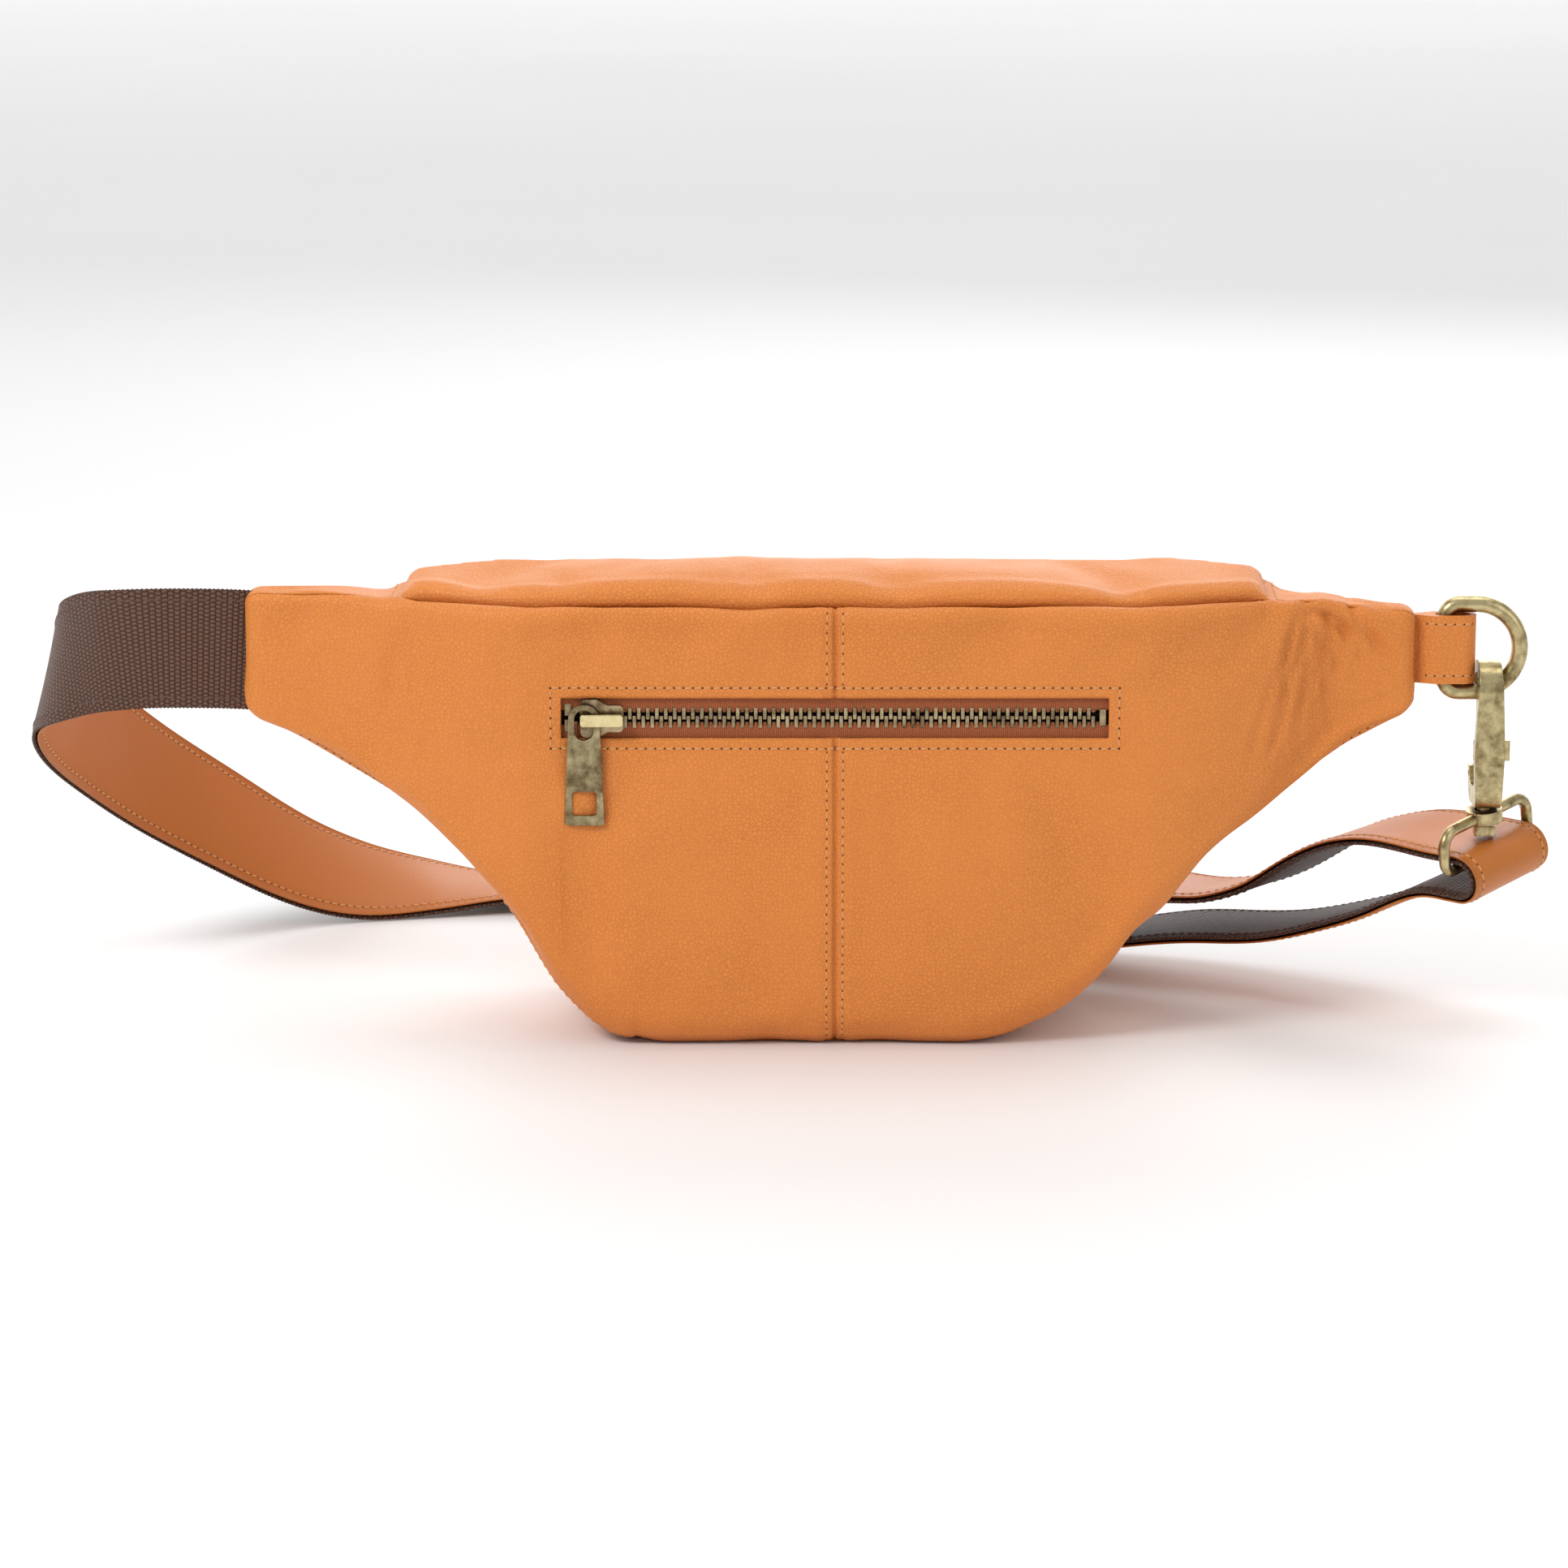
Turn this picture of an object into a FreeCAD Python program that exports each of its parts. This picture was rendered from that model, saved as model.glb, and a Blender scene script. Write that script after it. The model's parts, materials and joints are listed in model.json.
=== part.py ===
import FreeCAD, Part
import math
import os

# A leather waist pack, in millimetres. +X is the wearer's strap hook side, -Y the side with the
# pocket zip, +Z up. The origin is the middle of the flat bottom that the pack stands on.
os.makedirs("parts", exist_ok=True)
V = FreeCAD.Vector

# ---- driving sizes: the pouch ----
half_length = 171.0          # middle to the end of a wing
panel_top = 131.5            # top edge of the rear panel
crest_rise = 4.0             # padded top panel above the rear panel's top edge
rear_y = -33.0               # rear panel's flat face
front_y = 40.0               # front panel's flat face
crest_y = 14.0               # where the top panel starts to slope to the front
shoulder_drop = 13.5         # front panel's top edge below the rear panel's
wing_height = 37.0
wing_thickness = 14.0
wing_mid_y = -6.0
base_sink = 0.6              # how much the bottom is pressed flat
bottom_round = 12.0
top_round = 8.0
rear_edge_round = 6.0
wing_round = 4.0
leather_thickness = 1.6
seam_block = 6.0             # solid stitched end of each wing
panel_gap = 0.15
inner_round = 0.5            # tightest corner inside the skin
rear_wrap = 10.0             # how far the rear panel wraps round the bottom edge
front_wrap = 3.0
top_panel_half = 124.0
top_panel_zone = 30.0        # height in which the top panel is cut from the band
lining_thickness = 0.6
lining_gap = 0.3
lining_half = 122.0
foam_start = 126.0
foam_gap = 0.5
pocket_side_margin = 7.5     # rear pocket beyond the ends of its zip window
pocket_floor_z = 14.0
pocket_depth = 6.5
pocket_tape_gap = 0.2        # lining to the back of the zip tape
mouth_margin_u = 1.5         # lining's mouth beyond the zip window
mouth_margin_v = 0.8
main_mouth_margin = 6.0
main_mouth_side = 1.0
pocket_to_main = 0.4
seam_tape_half = 6.0
seam_tape_thickness = 0.4
seam_tape_gap = 0.05
seam_tape_low = 16.0
seam_tape_top_gap = 2.0      # seam tape below the zip tape

# ---- driving sizes: the two zips ----
window_half = 78.5
window_height = 11.7
window_cut = 8.0             # depth of the window's cut, less than the pocket's
rear_zip_drop = 33.9         # middle of the chain below the rear panel's top edge
tooth_pitch = 2.58
tooth_width = 1.0
tooth_length = 3.45
tooth_overlap = 1.0
tooth_thickness = 2.4
tooth_round = 0.25
stop_length = 1.8
stop_half = 2.4
crimp_width = 2.0
crimp_side = 0.6             # each crimp from the middle of the chain
tape_thickness = 0.6
tape_gap = 0.2
tape_reach = 13.0            # chain middle to the tape's hidden edge
tape_end_margin = 4.0
cord_radius = 0.75
slider_length = 12.4
slider_width = 11.2
slider_tail_width = 7.8
slider_waist_share = 0.38    # wide part's share of the slider's length
slider_waist = 3.2           # length of the slope from wide to narrow
slider_rounds = [1.8, 1.0, 1.2, 1.4]
plate_thickness = 1.5
slider_clearance = 0.3
slider_start = -73.0         # shoulder end of the slider, zip closed
bridge_width = 3.45
bridge_leg = 2.0
bridge_bar = 1.5
bridge_round = 0.8
bridge_leg_slim = 0.35       # legs narrower than the bar, each side
bridge_inset = 0.1           # bridge from the slider's ends, and its legs from the bar's
pull_length = 35.2
pull_top_width = 8.6
pull_bottom_width = 11.4
pull_thickness = 1.2
pull_gap = 0.4               # pull to slider plate and to bridge bar
eye_width = 5.5
eye_length = 8.8
pull_window = 7.1
pull_window_margin = 2.8
pull_round = 1.2
pull_window_round = 1.0
full_round = 0.05            # how much a rounded end falls short of a half circle

# ---- driving sizes: ring, hook and strap ----
ring_wire = 4.8
ring_inner_height = 21.0
ring_inner_depth = 17.2
ring_bar_offset = 6.5        # ring's straight bar beyond the wing's end
ring_drop = 18.3             # middle of the ring below the rear panel's top edge
ring_round = 4.5
tab_height = 20.0
tab_thickness = 1.6
tab_fold_offset = 15.6       # tab's fold beyond the wing's end
tab_clearance = 0.35
tab_flat_offset = -2.0       # where the tab starts to open round the ring, from the wing's end
tab_open_offset = 3.5        # where it is fully open
tab_root = 1.0               # how far the tab's root stands off the stitched end
tab_root_round = 0.2
tab_round = 3.0
hook_offset = 19.6           # hook's middle beyond the wing's end
hook_eye_play = 5.2          # eye wider than the ring's wire
hook_eye_lift = 0.7          # eye's top above that, where the ring's bow rises through it
hook_band = 3.6
hook_eye_length = 33.0
hook_top_width = 6.5
hook_mid_width = 8.7
hook_base_width = 7.5
hook_base = 6.0
hook_body_round = 5.0
hook_eye_round = 3.0
hook_front_round = 30.0
hook_side_round = 0.6
hook_mid_share = 0.4         # height of the hook's widest place
mouth_margin = 1.0
mouth_rise = 2.6             # hook's mouth above the gate's pin
nose_drop = 3.0              # hook's nose below the middle of the ring's wire
pivot_rise = 2.2             # gate's pin above the foot of the eye
gate_slot_margin = 0.6
gate_slot_rise = 3.0
gate_width = 4.4
gate_thickness = 2.2
gate_clearance = 0.3
gate_foot_radius = 2.0
lever_left = 2.4             # thumb lever to each side of the hook's middle
lever_right = 8.2
lever_rise = 3.2             # thumb lever above the gate's pin
lever_height = 6.0
lever_plate = 1.4
lever_neck = 0.2             # neck's reach into the lever's plate
ridge_height = 0.7
ridge_width = 0.8
ridge_pitch = 1.8
ridge_count = 3
pin_radius = 0.9
pin_play = 0.1
pin_inset = 0.8
spring_wire = 0.45
spring_radius = 1.45
spring_pitch = 0.55
spring_length = 1.1
spring_slant = 0.06
spring_side_gap = 0.25
spring_room_width = 2.7
spring_room_half = 3.0
spring_room_rise = 2.4
stem_radius = 2.2
stem_depth = 4.0             # stem riveted into the hook's base
rivet_head = 6.0
rivet_head_height = 2.9
rivet_head_round = 0.9
collar_height = 3.8
collar_wall = 2.5
collar_play = 0.6
collar_end_play = 1.0
loop_wire = 3.4
loop_inner = 36.0
loop_drop = 12.0
loop_low_round = 3.5
loop_top_round = 4.9
loop_yaw = 45.0
loop_tilt = 9.0
webbing_width = 35.0
webbing_thickness = 1.6
strap_leather_width = 34.0
strap_leather_thickness = 1.2
ply_gap = 0.1
slot_clearance = 0.4         # strap in the slot of the left wing's end
slot_depth = 4.5             # slot beyond the strap's sewn end
fold_cavity = 4.7            # inside radius of the strap's fold
bar_play = 0.5
fold_set_back = 2.0          # strap's fold behind the loop's bar
adjuster_wire = 3.0
adjuster_play = 0.3
adjuster_reach = 11.0
adjuster_station = 20        # station of the strap's run that the adjuster sits on
adjuster_round = 4.0
adjuster_rise = 0.6
adjuster_overhang = 0.2
adjuster_post_slim = 0.1
wrap_length = 20.0
side_reach = 9.0             # strap's middle line to the line that sets its tilt
strap_drawn_half_length = 171.0     # pouch that the strap's stations are drawn for
strap_drawn_top = 131.5
far = 300.0                  # reach of the cutting boxes, beyond every part
wide = 100.0
below = 10.0

# ---- sizes that follow ----
crest_top = panel_top + crest_rise
front_shoulder_z = panel_top - shoulder_drop
rear_zip_z = panel_top - rear_zip_drop
ring_mid_z = panel_top - ring_drop
ring_bar_x = half_length + ring_bar_offset
tab_fold_x = half_length + tab_fold_offset
hook_x = half_length + hook_offset
hook_eye_width = ring_wire + hook_eye_play
seam_start = half_length - seam_block


def save(name, shapes):
    """Write one node's solids."""
    solids = []
    for shape in shapes:
        solids.extend(shape.Solids)
    body = solids[0] if len(solids) == 1 else Part.makeCompound(solids)
    body.exportStep("parts/" + name + ".step")
    print(name, len(solids), round(body.Volume))


def box(x0, x1, y0, y1, z0, z1):
    return Part.makeBox(x1 - x0, y1 - y0, z1 - z0, V(x0, y0, z0))


def mix(a, b, share):
    return a + (b - a) * share


def rounded_wire(points, radii):
    """A closed loop through corner points, each corner rounded by its own radius."""
    starts, ends, middles = [], [], []
    count = len(points)
    for i in range(count):
        corner = points[i]
        back = (points[i - 1] - corner).normalize()
        ahead = (points[(i + 1) % count] - corner).normalize()
        half = back.getAngle(ahead) / 2
        reach = radii[i] / math.tan(half)
        inward = (back + ahead).normalize()
        starts.append(corner + back * reach)
        ends.append(corner + ahead * reach)
        middles.append(corner + inward * (radii[i] / math.sin(half) - radii[i]))
    edges = []
    for i in range(count):
        edges.append(Part.Arc(starts[i], middles[i], ends[i]).toShape())
        edges.append(Part.makeLine(ends[i], starts[(i + 1) % count]))
    return Part.Wire(edges)


def plate(points, radii, direction):
    """A flat piece: a rounded outline pushed along a direction."""
    return Part.Face(rounded_wire(points, radii)).extrude(direction)


def wire_ring(points, radii, wire_diameter):
    """Round wire bent along a closed rounded outline."""
    path = rounded_wire(points, radii)
    first = path.OrderedEdges[1]
    middle = first.valueAt((first.FirstParameter + first.LastParameter) / 2)
    along = first.tangentAt((first.FirstParameter + first.LastParameter) / 2)
    lead = Part.makeLine(middle, first.valueAt(first.LastParameter))
    tail = Part.makeLine(first.valueAt(first.FirstParameter), middle)
    edges = [lead] + path.OrderedEdges[2:] + [path.OrderedEdges[0], tail]
    profile = Part.Wire([Part.makeCircle(wire_diameter / 2, middle, along)])
    return Part.Wire(edges).makePipeShell([profile], True, True)


# ---------------------------------------------------------------- the pouch's skin
# Each station: share of half_length, share of the wing's lift, share of the taper to the wing.
stations = [
    (0.0, 0.0, 0.0), (0.15, 0.0, 0.0), (0.28, 0.0, 0.0), (0.34, 0.02, 0.0), (0.4, 0.085, 0.0),
    (0.465, 0.2, 0.0), (0.515, 0.3, 0.0), (0.56, 0.385, 0.06), (0.635, 0.54, 0.28),
    (0.715, 0.685, 0.55), (0.8, 0.81, 0.79), (0.895, 0.92, 0.95), (1.0, 1.0, 1.0),
]


def inset(corners, distance):
    """Move every side of a counter-clockwise (y, z, radius) outline inward."""
    moved = []
    count = len(corners)
    for i in range(count):
        y, z, radius = corners[i]
        before, after = corners[i - 1], corners[(i + 1) % count]
        a = V(y - before[0], z - before[1], 0).normalize()
        b = V(after[0] - y, after[1] - z, 0).normalize()
        normal_a, normal_b = V(-a.y, a.x, 0), V(-b.y, b.x, 0)
        spread = 1 + normal_a.dot(normal_b)
        shift = (normal_a + normal_b) * (distance / spread)
        moved.append((y + shift.x, z + shift.y, max(radius - distance, inner_round)))
    return moved


def section_corners(lift, taper):
    low = mix(-base_sink, panel_top - wing_height, lift)
    near = mix(rear_y, wing_mid_y - wing_thickness / 2, taper)
    front = mix(front_y, wing_mid_y + wing_thickness / 2, taper)
    bottom_radius = mix(bottom_round, wing_round, taper)
    top_radius = mix(top_round, wing_round, taper)
    return [
        (near, low, bottom_radius),
        (front, low, bottom_radius),
        (front, mix(front_shoulder_z, panel_top - wing_height / 4, taper), top_radius),
        (mix(crest_y, wing_mid_y + wing_thickness / 5, taper), mix(crest_top, panel_top, taper), top_radius),
        (near, mix(panel_top, panel_top - 1, taper), mix(rear_edge_round, wing_round, taper)),
    ]


def pouch_loft(distance):
    """The pouch's whole form, with every side moved inward by a distance."""
    wires = []
    mirrored = [(-share, lift, taper) for share, lift, taper in reversed(stations[1:])]
    for share, lift, taper in mirrored + stations:
        corners = inset(section_corners(lift, taper), distance)
        points = [V(share * half_length, y, z) for y, z, radius in corners]
        wires.append(rounded_wire(points, [radius for y, z, radius in corners]))
    return Part.makeLoft(wires, True, False)


def beyond(offset_rear, offset_front, side):
    """Everything behind (side -1) or ahead (side 1) of a curved wall that follows the taper."""
    points = []
    for share, lift, taper in stations:
        corners = section_corners(lift, taper)
        if side < 0:
            y = mix(corners[0][0] + offset_rear, wing_mid_y, taper)
        else:
            y = mix(corners[1][0] - offset_front, wing_mid_y + front_wrap, taper)
        points.append(V(share * half_length, y, -below))
    points = [V(-p.x, p.y, p.z) for p in reversed(points[1:])] + points
    first, last = points[0] - V(2 * below, 0, 0), points[-1] + V(2 * below, 0, 0)
    curve = Part.BSplineCurve()
    curve.interpolate([first] + points + [last])
    wall = side * wide
    loop = [
        curve.toShape(),
        Part.makeLine(last, V(last.x, wall, -below)),
        Part.makeLine(V(last.x, wall, -below), V(first.x, wall, -below)),
        Part.makeLine(V(first.x, wall, -below), first),
    ]
    return Part.Face(Part.Wire(loop)).extrude(V(0, 0, far))


outside = pouch_loft(0).common(box(-far, far, -wide, wide, 0, far))
hollow = pouch_loft(leather_thickness).common(box(-seam_start, seam_start, -wide, wide, -below, far))
skin = outside.cut(hollow)
rear_side = beyond(rear_wrap, front_wrap, -1)
front_side = beyond(rear_wrap, front_wrap, 1)


# ---------------------------------------------------------------- zips
def zip_frame(origin, up, outward):
    """Local frame of a zip: u along the chain, v across it, w out of the leather."""
    along = up.cross(outward)
    return FreeCAD.Placement(FreeCAD.Matrix(
        along.x, up.x, outward.x, origin.x, along.y, up.y, outward.y, origin.y,
        along.z, up.z, outward.z, origin.z, 0, 0, 0, 1))


def placed(shape, frame):
    copy = shape.copy()
    copy.Placement = frame.multiply(copy.Placement)
    return copy


tape_top = -leather_thickness - tape_gap
chain_w = tape_top - tape_thickness / 2
teeth_top = chain_w + tooth_thickness / 2
teeth_low = chain_w - tooth_thickness / 2
plate_low = teeth_top + slider_clearance
plate_top = plate_low + plate_thickness
bottom_plate_top = teeth_low - slider_clearance
bottom_plate_low = bottom_plate_top - plate_thickness
pull_low = plate_top + pull_gap
bar_low = pull_low + pull_thickness + pull_gap
cord_v = tooth_length - tooth_overlap / 2 - cord_radius
leg_u = slider_start + bridge_inset + bridge_leg / 2


def zip_tape(side):
    tape = box(-window_half - tape_end_margin, window_half + tape_end_margin,
               cord_v, tape_reach, tape_top - tape_thickness, tape_top)
    cord_half = window_half - cord_radius
    cord = Part.makeCylinder(cord_radius, 2 * cord_half, V(-cord_half, cord_v, chain_w), V(1, 0, 0))
    tape = tape.fuse(cord).removeSplitter()
    return tape if side > 0 else tape.mirror(V(0, 0, 0), V(0, 1, 0))


def zip_tooth():
    half, head = tooth_width / 2, -tooth_overlap / 2
    root = head + tooth_length
    blank = plate([V(-half, head, teeth_low), V(half, head, teeth_low), V(half, root, teeth_low),
                   V(-half, root, teeth_low)], [tooth_round] * 4, V(0, 0, tooth_thickness))
    return blank.cut(zip_tape(1))


def zip_teeth(side):
    tooth = zip_tooth()
    if side < 0:
        tooth = tooth.mirror(V(0, 0, 0), V(0, 1, 0))
    shift = 0 if side > 0 else tooth_pitch / 2
    teeth = []
    u = slider_start + tooth_pitch / 2 + shift
    while u < window_half - tooth_pitch * 1.5:
        copy = tooth.copy()
        copy.translate(V(u, 0, 0))
        teeth.append(copy)
        u += tooth_pitch
    return teeth


def zip_stops():
    """A bar across the far end of the chain, and a crimp on each tape at the closed end."""
    chain_end = window_half - tooth_pitch
    bar = box(chain_end, chain_end + stop_length, -stop_half, stop_half, teeth_low, teeth_top)
    stops = [bar.cut([zip_tape(1), zip_tape(-1)])]
    crimp_u = crimp_width / 2 - window_half
    for side in (1, -1):
        low = crimp_side if side > 0 else -crimp_side - tooth_length
        crimp = box(crimp_u, crimp_u + crimp_width, low, low + tooth_length, teeth_low, teeth_top)
        stops.append(crimp.cut(zip_tape(side)))
    return stops


def slider_outline(w):
    half, tail = slider_width / 2, slider_tail_width / 2
    u0, u1 = slider_start, slider_start + slider_length
    waist = u0 + slider_length * slider_waist_share
    neck = waist + slider_waist
    points = [V(u0, -half, w), V(waist, -half, w), V(neck, -tail, w), V(u1, -tail, w),
              V(u1, tail, w), V(neck, tail, w), V(waist, half, w), V(u0, half, w)]
    return points, slider_rounds + slider_rounds[::-1]


def zip_slider():
    plates = []
    for w in (plate_low, bottom_plate_low):
        points, radii = slider_outline(w)
        plates.append(plate(points, radii, V(0, 0, plate_thickness)))
    return plates


def zip_bridge():
    """The bar over the slider that holds the pull, on a leg at each end."""
    u0, u1 = leg_u - bridge_leg / 2, slider_start + slider_length - bridge_inset
    half = bridge_width / 2
    bar = plate([V(u0, -half, bar_low), V(u1, -half, bar_low), V(u1, half, bar_low), V(u0, half, bar_low)],
                [bridge_round] * 4, V(0, 0, bridge_bar))
    slim = half - bridge_leg_slim
    legs = [box(u0 + bridge_inset, u0 + bridge_leg, -slim, slim, plate_top, bar_low),
            box(u1 - bridge_leg, u1 - bridge_inset, -slim, slim, plate_top, bar_low)]
    return bar.fuse(legs).removeSplitter()


def zip_pull(turn):
    """The flat pull. It hangs from the bridge's first leg; turn swings it about that leg."""
    top, low = pull_top_width / 2, pull_bottom_width / 2
    foot = top - pull_length
    tag = plate([V(-top, top, pull_low), V(-low, foot, pull_low), V(low, foot, pull_low),
                 V(top, top, pull_low)],
                [top - full_round, pull_round, pull_round, top - full_round], V(0, 0, pull_thickness))
    eye_half = eye_width / 2
    eye_foot = eye_half - eye_length
    eye = plate([V(-eye_half, eye_half, pull_low), V(-eye_half, eye_foot, pull_low),
                 V(eye_half, eye_foot, pull_low), V(eye_half, eye_half, pull_low)],
                [eye_half - full_round] * 4, V(0, 0, pull_thickness))
    side = pull_window / 2
    window_low = foot + pull_window_margin
    window_top = window_low + pull_window
    window = plate([V(-side, window_low, pull_low), V(side, window_low, pull_low),
                    V(side, window_top, pull_low), V(-side, window_top, pull_low)],
                   [pull_window_round] * 4, V(0, 0, pull_thickness))
    tag = tag.cut([eye, window])
    tag.rotate(V(0, 0, 0), V(0, 0, 1), turn)
    tag.translate(V(leg_u, 0, 0))
    return tag


def window_tool(extra_u, extra_v):
    half_u, half_v = window_half + extra_u, window_height / 2 + extra_v
    return box(-half_u, half_u, -half_v, half_v, -window_cut, window_cut)


def save_zip(name, frame, pull_turn):
    save(name + "_tape_upper", [placed(zip_tape(1), frame)])
    save(name + "_tape_lower", [placed(zip_tape(-1), frame)])
    save(name + "_teeth_upper", [placed(tooth, frame) for tooth in zip_teeth(1)])
    save(name + "_teeth_lower", [placed(tooth, frame) for tooth in zip_teeth(-1)])
    save(name + "_stops", [placed(stop, frame) for stop in zip_stops()])
    save(name + "_slider", [placed(piece, frame) for piece in zip_slider()])
    save(name + "_bridge", [placed(zip_bridge(), frame)])
    save(name + "_pull", [placed(zip_pull(pull_turn), frame)])


rear_frame = zip_frame(V(0, rear_y, rear_zip_z), V(0, 0, 1), V(0, -1, 0))
slope = V(0, front_y - crest_y, front_shoulder_z - crest_top)
slope_up = V(0, -slope.y, -slope.z).normalize()
slope_out = V(0, -slope.z, slope.y).normalize()
slope_middle = V(0, (front_y + crest_y) / 2, (front_shoulder_z + crest_top) / 2)
main_frame = zip_frame(slope_middle, slope_up, slope_out)
save_zip("rear_zip", rear_frame, 0)
save_zip("main_zip", main_frame, -90)

# ---------------------------------------------------------------- strap
# Middle line of the strap and the direction across its width, from the left wing round behind
# the pouch. The middle line runs between the webbing and the leather.
run_drawn = [
    (-167, -6, 112.5, 0, 0, 1), (-175, -6.5, 113, 0, 0, 1), (-187, -8, 113.5, 0, 0, 1),
    (-199.5, -8.5, 113.5, 0, 0, 1), (-210, -6, 112.5, 0.04, 0.02, 1), (-219, 1, 110, 0.08, 0.05, 1),
    (-227.5, 11, 105, 0.16, 0.12, 0.98), (-233, 27, 98, 0.22, 0.2, 0.95),
    (-232.5, 48, 85, 0.24, 0.33, 0.91), (-225, 70, 70.5, 0.25, 0.47, 0.85),
    (-212, 91, 54.5, 0.24, 0.58, 0.78), (-190, 112.5, 35, 0.21, 0.72, 0.67),
    (-166, 129, 17.8, 0.2, 0.85, 0.49), (-148, 138, 10.6, 0.17, 0.91, 0.38),
    (-127, 145, 7.2, 0.1, 0.98, 0.2), (-105, 150, 5, 0.02, 1, 0), (-80, 149, 4, 0, 1, 0),
    (-50, 136, 4.5, 0.3, 0.95, 0), (-25, 119, 6.5, 0.44, 0.9, 0), (0, 101, 9.5, 0.46, 0.88, 0),
    (25, 87, 11.4, 0.46, 0.88, 0), (50, 75.5, 13.5, 0.42, 0.9, 0), (78, 65, 20, 0.32, 0.95, 0),
    (105, 57, 27, 0.22, 0.97, 0),
]
upper_drawn = [
    (106, 56.8, 27, 0.22, 0.97, 0), (114.4, 53.8, 27, 0.28, 0.95, -0.04), (124, 50, 28.8, 0.38, 0.92, -0.08),
    (134, 46, 33, 0.52, 0.85, -0.06), (144, 39.5, 40.5, 0.62, 0.78, -0.02),
    (154.5, 31, 48.5, 0.66, 0.75, 0.03), (162, 23.5, 52.5, 0.69, 0.72, 0.06),
    (169.3, 16.5, 54.8, 0.7, 0.71, 0.1),
]
lower_drawn = [
    (170, 16.6, 33, 0.69, 0.72, 0.08),
    (154.3, 29.7, 24.5, 0.62, 0.78, 0.05), (137.5, 41, 18.5, 0.5, 0.86, 0.03),
    (124, 50, 16, 0.38, 0.9, 0.02), (111, 56.9, 14.5, 0.3, 0.95, 0.02), (96, 62.5, 11.8, 0.27, 0.96, 0),
    (78, 67.5, 8, 0.32, 0.95, 0), (60, 73, 4, 0.42, 0.9, 0), (47, 78, 2.2, 0.45, 0.89, 0),
    (38, 80.4, 1.7, 0.46, 0.88, 0),
]
strap_root_z = run_drawn[0][2]
strap_end_x, hook_side_x = upper_drawn[0][0], upper_drawn[-1][0]


def root_share(station):
    """1 at the sewn end in the left wing, 0 where the strap lies low behind the pouch."""
    floor_z = run_drawn[adjuster_station][2]
    return max(0.0, (station[2] - floor_z) / (strap_root_z - floor_z)) if station[0] < 0 else 0.0


def hook_share(station):
    """0 where the strap's end part starts, 1 at the hook."""
    return min(1.0, max(0.0, (station[0] - strap_end_x) / (hook_side_x - strap_end_x)))


def fitted(drawn, share):
    """Stations moved out with the wings' length and up with their height."""
    return [(station[0] * half_length / strap_drawn_half_length, station[1],
             station[2] + (panel_top - strap_drawn_top) * share(station), *station[3:]) for station in drawn]


run_stations = fitted(run_drawn, root_share)
upper_stations = fitted(upper_drawn, hook_share)
lower_stations = fitted(lower_drawn, hook_share)
run_step = 6.0
end_step = 2.0               # short enough to follow the two tight folds
plies = {
    "webbing": (webbing_width / 2, -webbing_thickness, 0.0),
    "leather": (strap_leather_width / 2, ply_gap, ply_gap + strap_leather_thickness),
}


def loop_axes():
    """Directions along the loop's bar, up through its middle, and level across both."""
    yaw, tilt = math.radians(loop_yaw), math.radians(loop_tilt)
    along = V(math.cos(yaw) * math.cos(tilt), math.sin(yaw) * math.cos(tilt), math.sin(tilt))
    across = V(-math.sin(yaw), math.cos(yaw), 0)
    return along, along.cross(across), across


def frames_along(stations, step):
    """Evenly spaced middle points of the strap, each with its width and its leather side."""
    points = [V(*station[:3]) for station in stations]
    widths = [V(*station[3:]) for station in stations]
    lengths = [0.0]
    for a, b in zip(points, points[1:]):
        lengths.append(lengths[-1] + a.distanceToPoint(b))
    line, side_line = Part.BSplineCurve(), Part.BSplineCurve()
    line.interpolate(Points=points, Parameters=lengths)
    side_points = [point + width * side_reach for point, width in zip(points, widths)]
    side_line.interpolate(Points=side_points, Parameters=lengths)
    count = round(lengths[-1] / step)
    frames = []
    for i in range(count + 1):
        at = lengths[-1] * i / count
        tangent = line.tangent(at)[0]
        width = side_line.value(at) - line.value(at)
        leather_side = tangent.cross(width).normalize()
        frames.append((line.value(at), leather_side.cross(tangent).normalize(), leather_side))
    return frames


def ribbon(frames, half_width, low, high):
    wires = []
    for middle, width, leather_side in frames:
        corners = []
        for across, out in ((-half_width, low), (half_width, low), (half_width, high), (-half_width, high)):
            corners.append(middle + width * across + leather_side * out)
        wires.append(Part.makePolygon(corners + corners[:1]))
    return Part.makeLoft(wires, True, False)


def hairpin(centre, back, up, width, radius):
    """Stations of a half turn about a bar, with a short straight lead at each end."""
    leads = [radius * share for share in (1.6, 0.8, 0.35)]
    points = [centre + back * lead + up * radius for lead in leads]
    for degrees in range(90, -91, -20):
        angle = math.radians(degrees)
        points.append(centre - back * (radius * math.cos(angle)) + up * (radius * math.sin(angle)))
    points.extend(centre + back * lead - up * radius for lead in reversed(leads))
    return [(point.x, point.y, point.z, width.x, width.y, width.z) for point in points]


bar_along, bar_up, bar_across = loop_axes()
wire_low_z = ring_mid_z - ring_inner_height / 2 - ring_wire / 2     # middle of the ring's lowest wire
eye_foot_z = wire_low_z + hook_eye_width / 2 - hook_eye_length
base_z = eye_foot_z - hook_base
collar_z = base_z - collar_end_play - collar_height / 2
bar_middle = V(hook_x, wing_mid_y, collar_z) - bar_up * loop_drop
fold_middle = bar_middle - bar_across * fold_set_back - bar_up * (fold_cavity - loop_wire / 2 - bar_play)
fold = hairpin(fold_middle, bar_across, bar_up, bar_along, fold_cavity + webbing_thickness)

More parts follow.
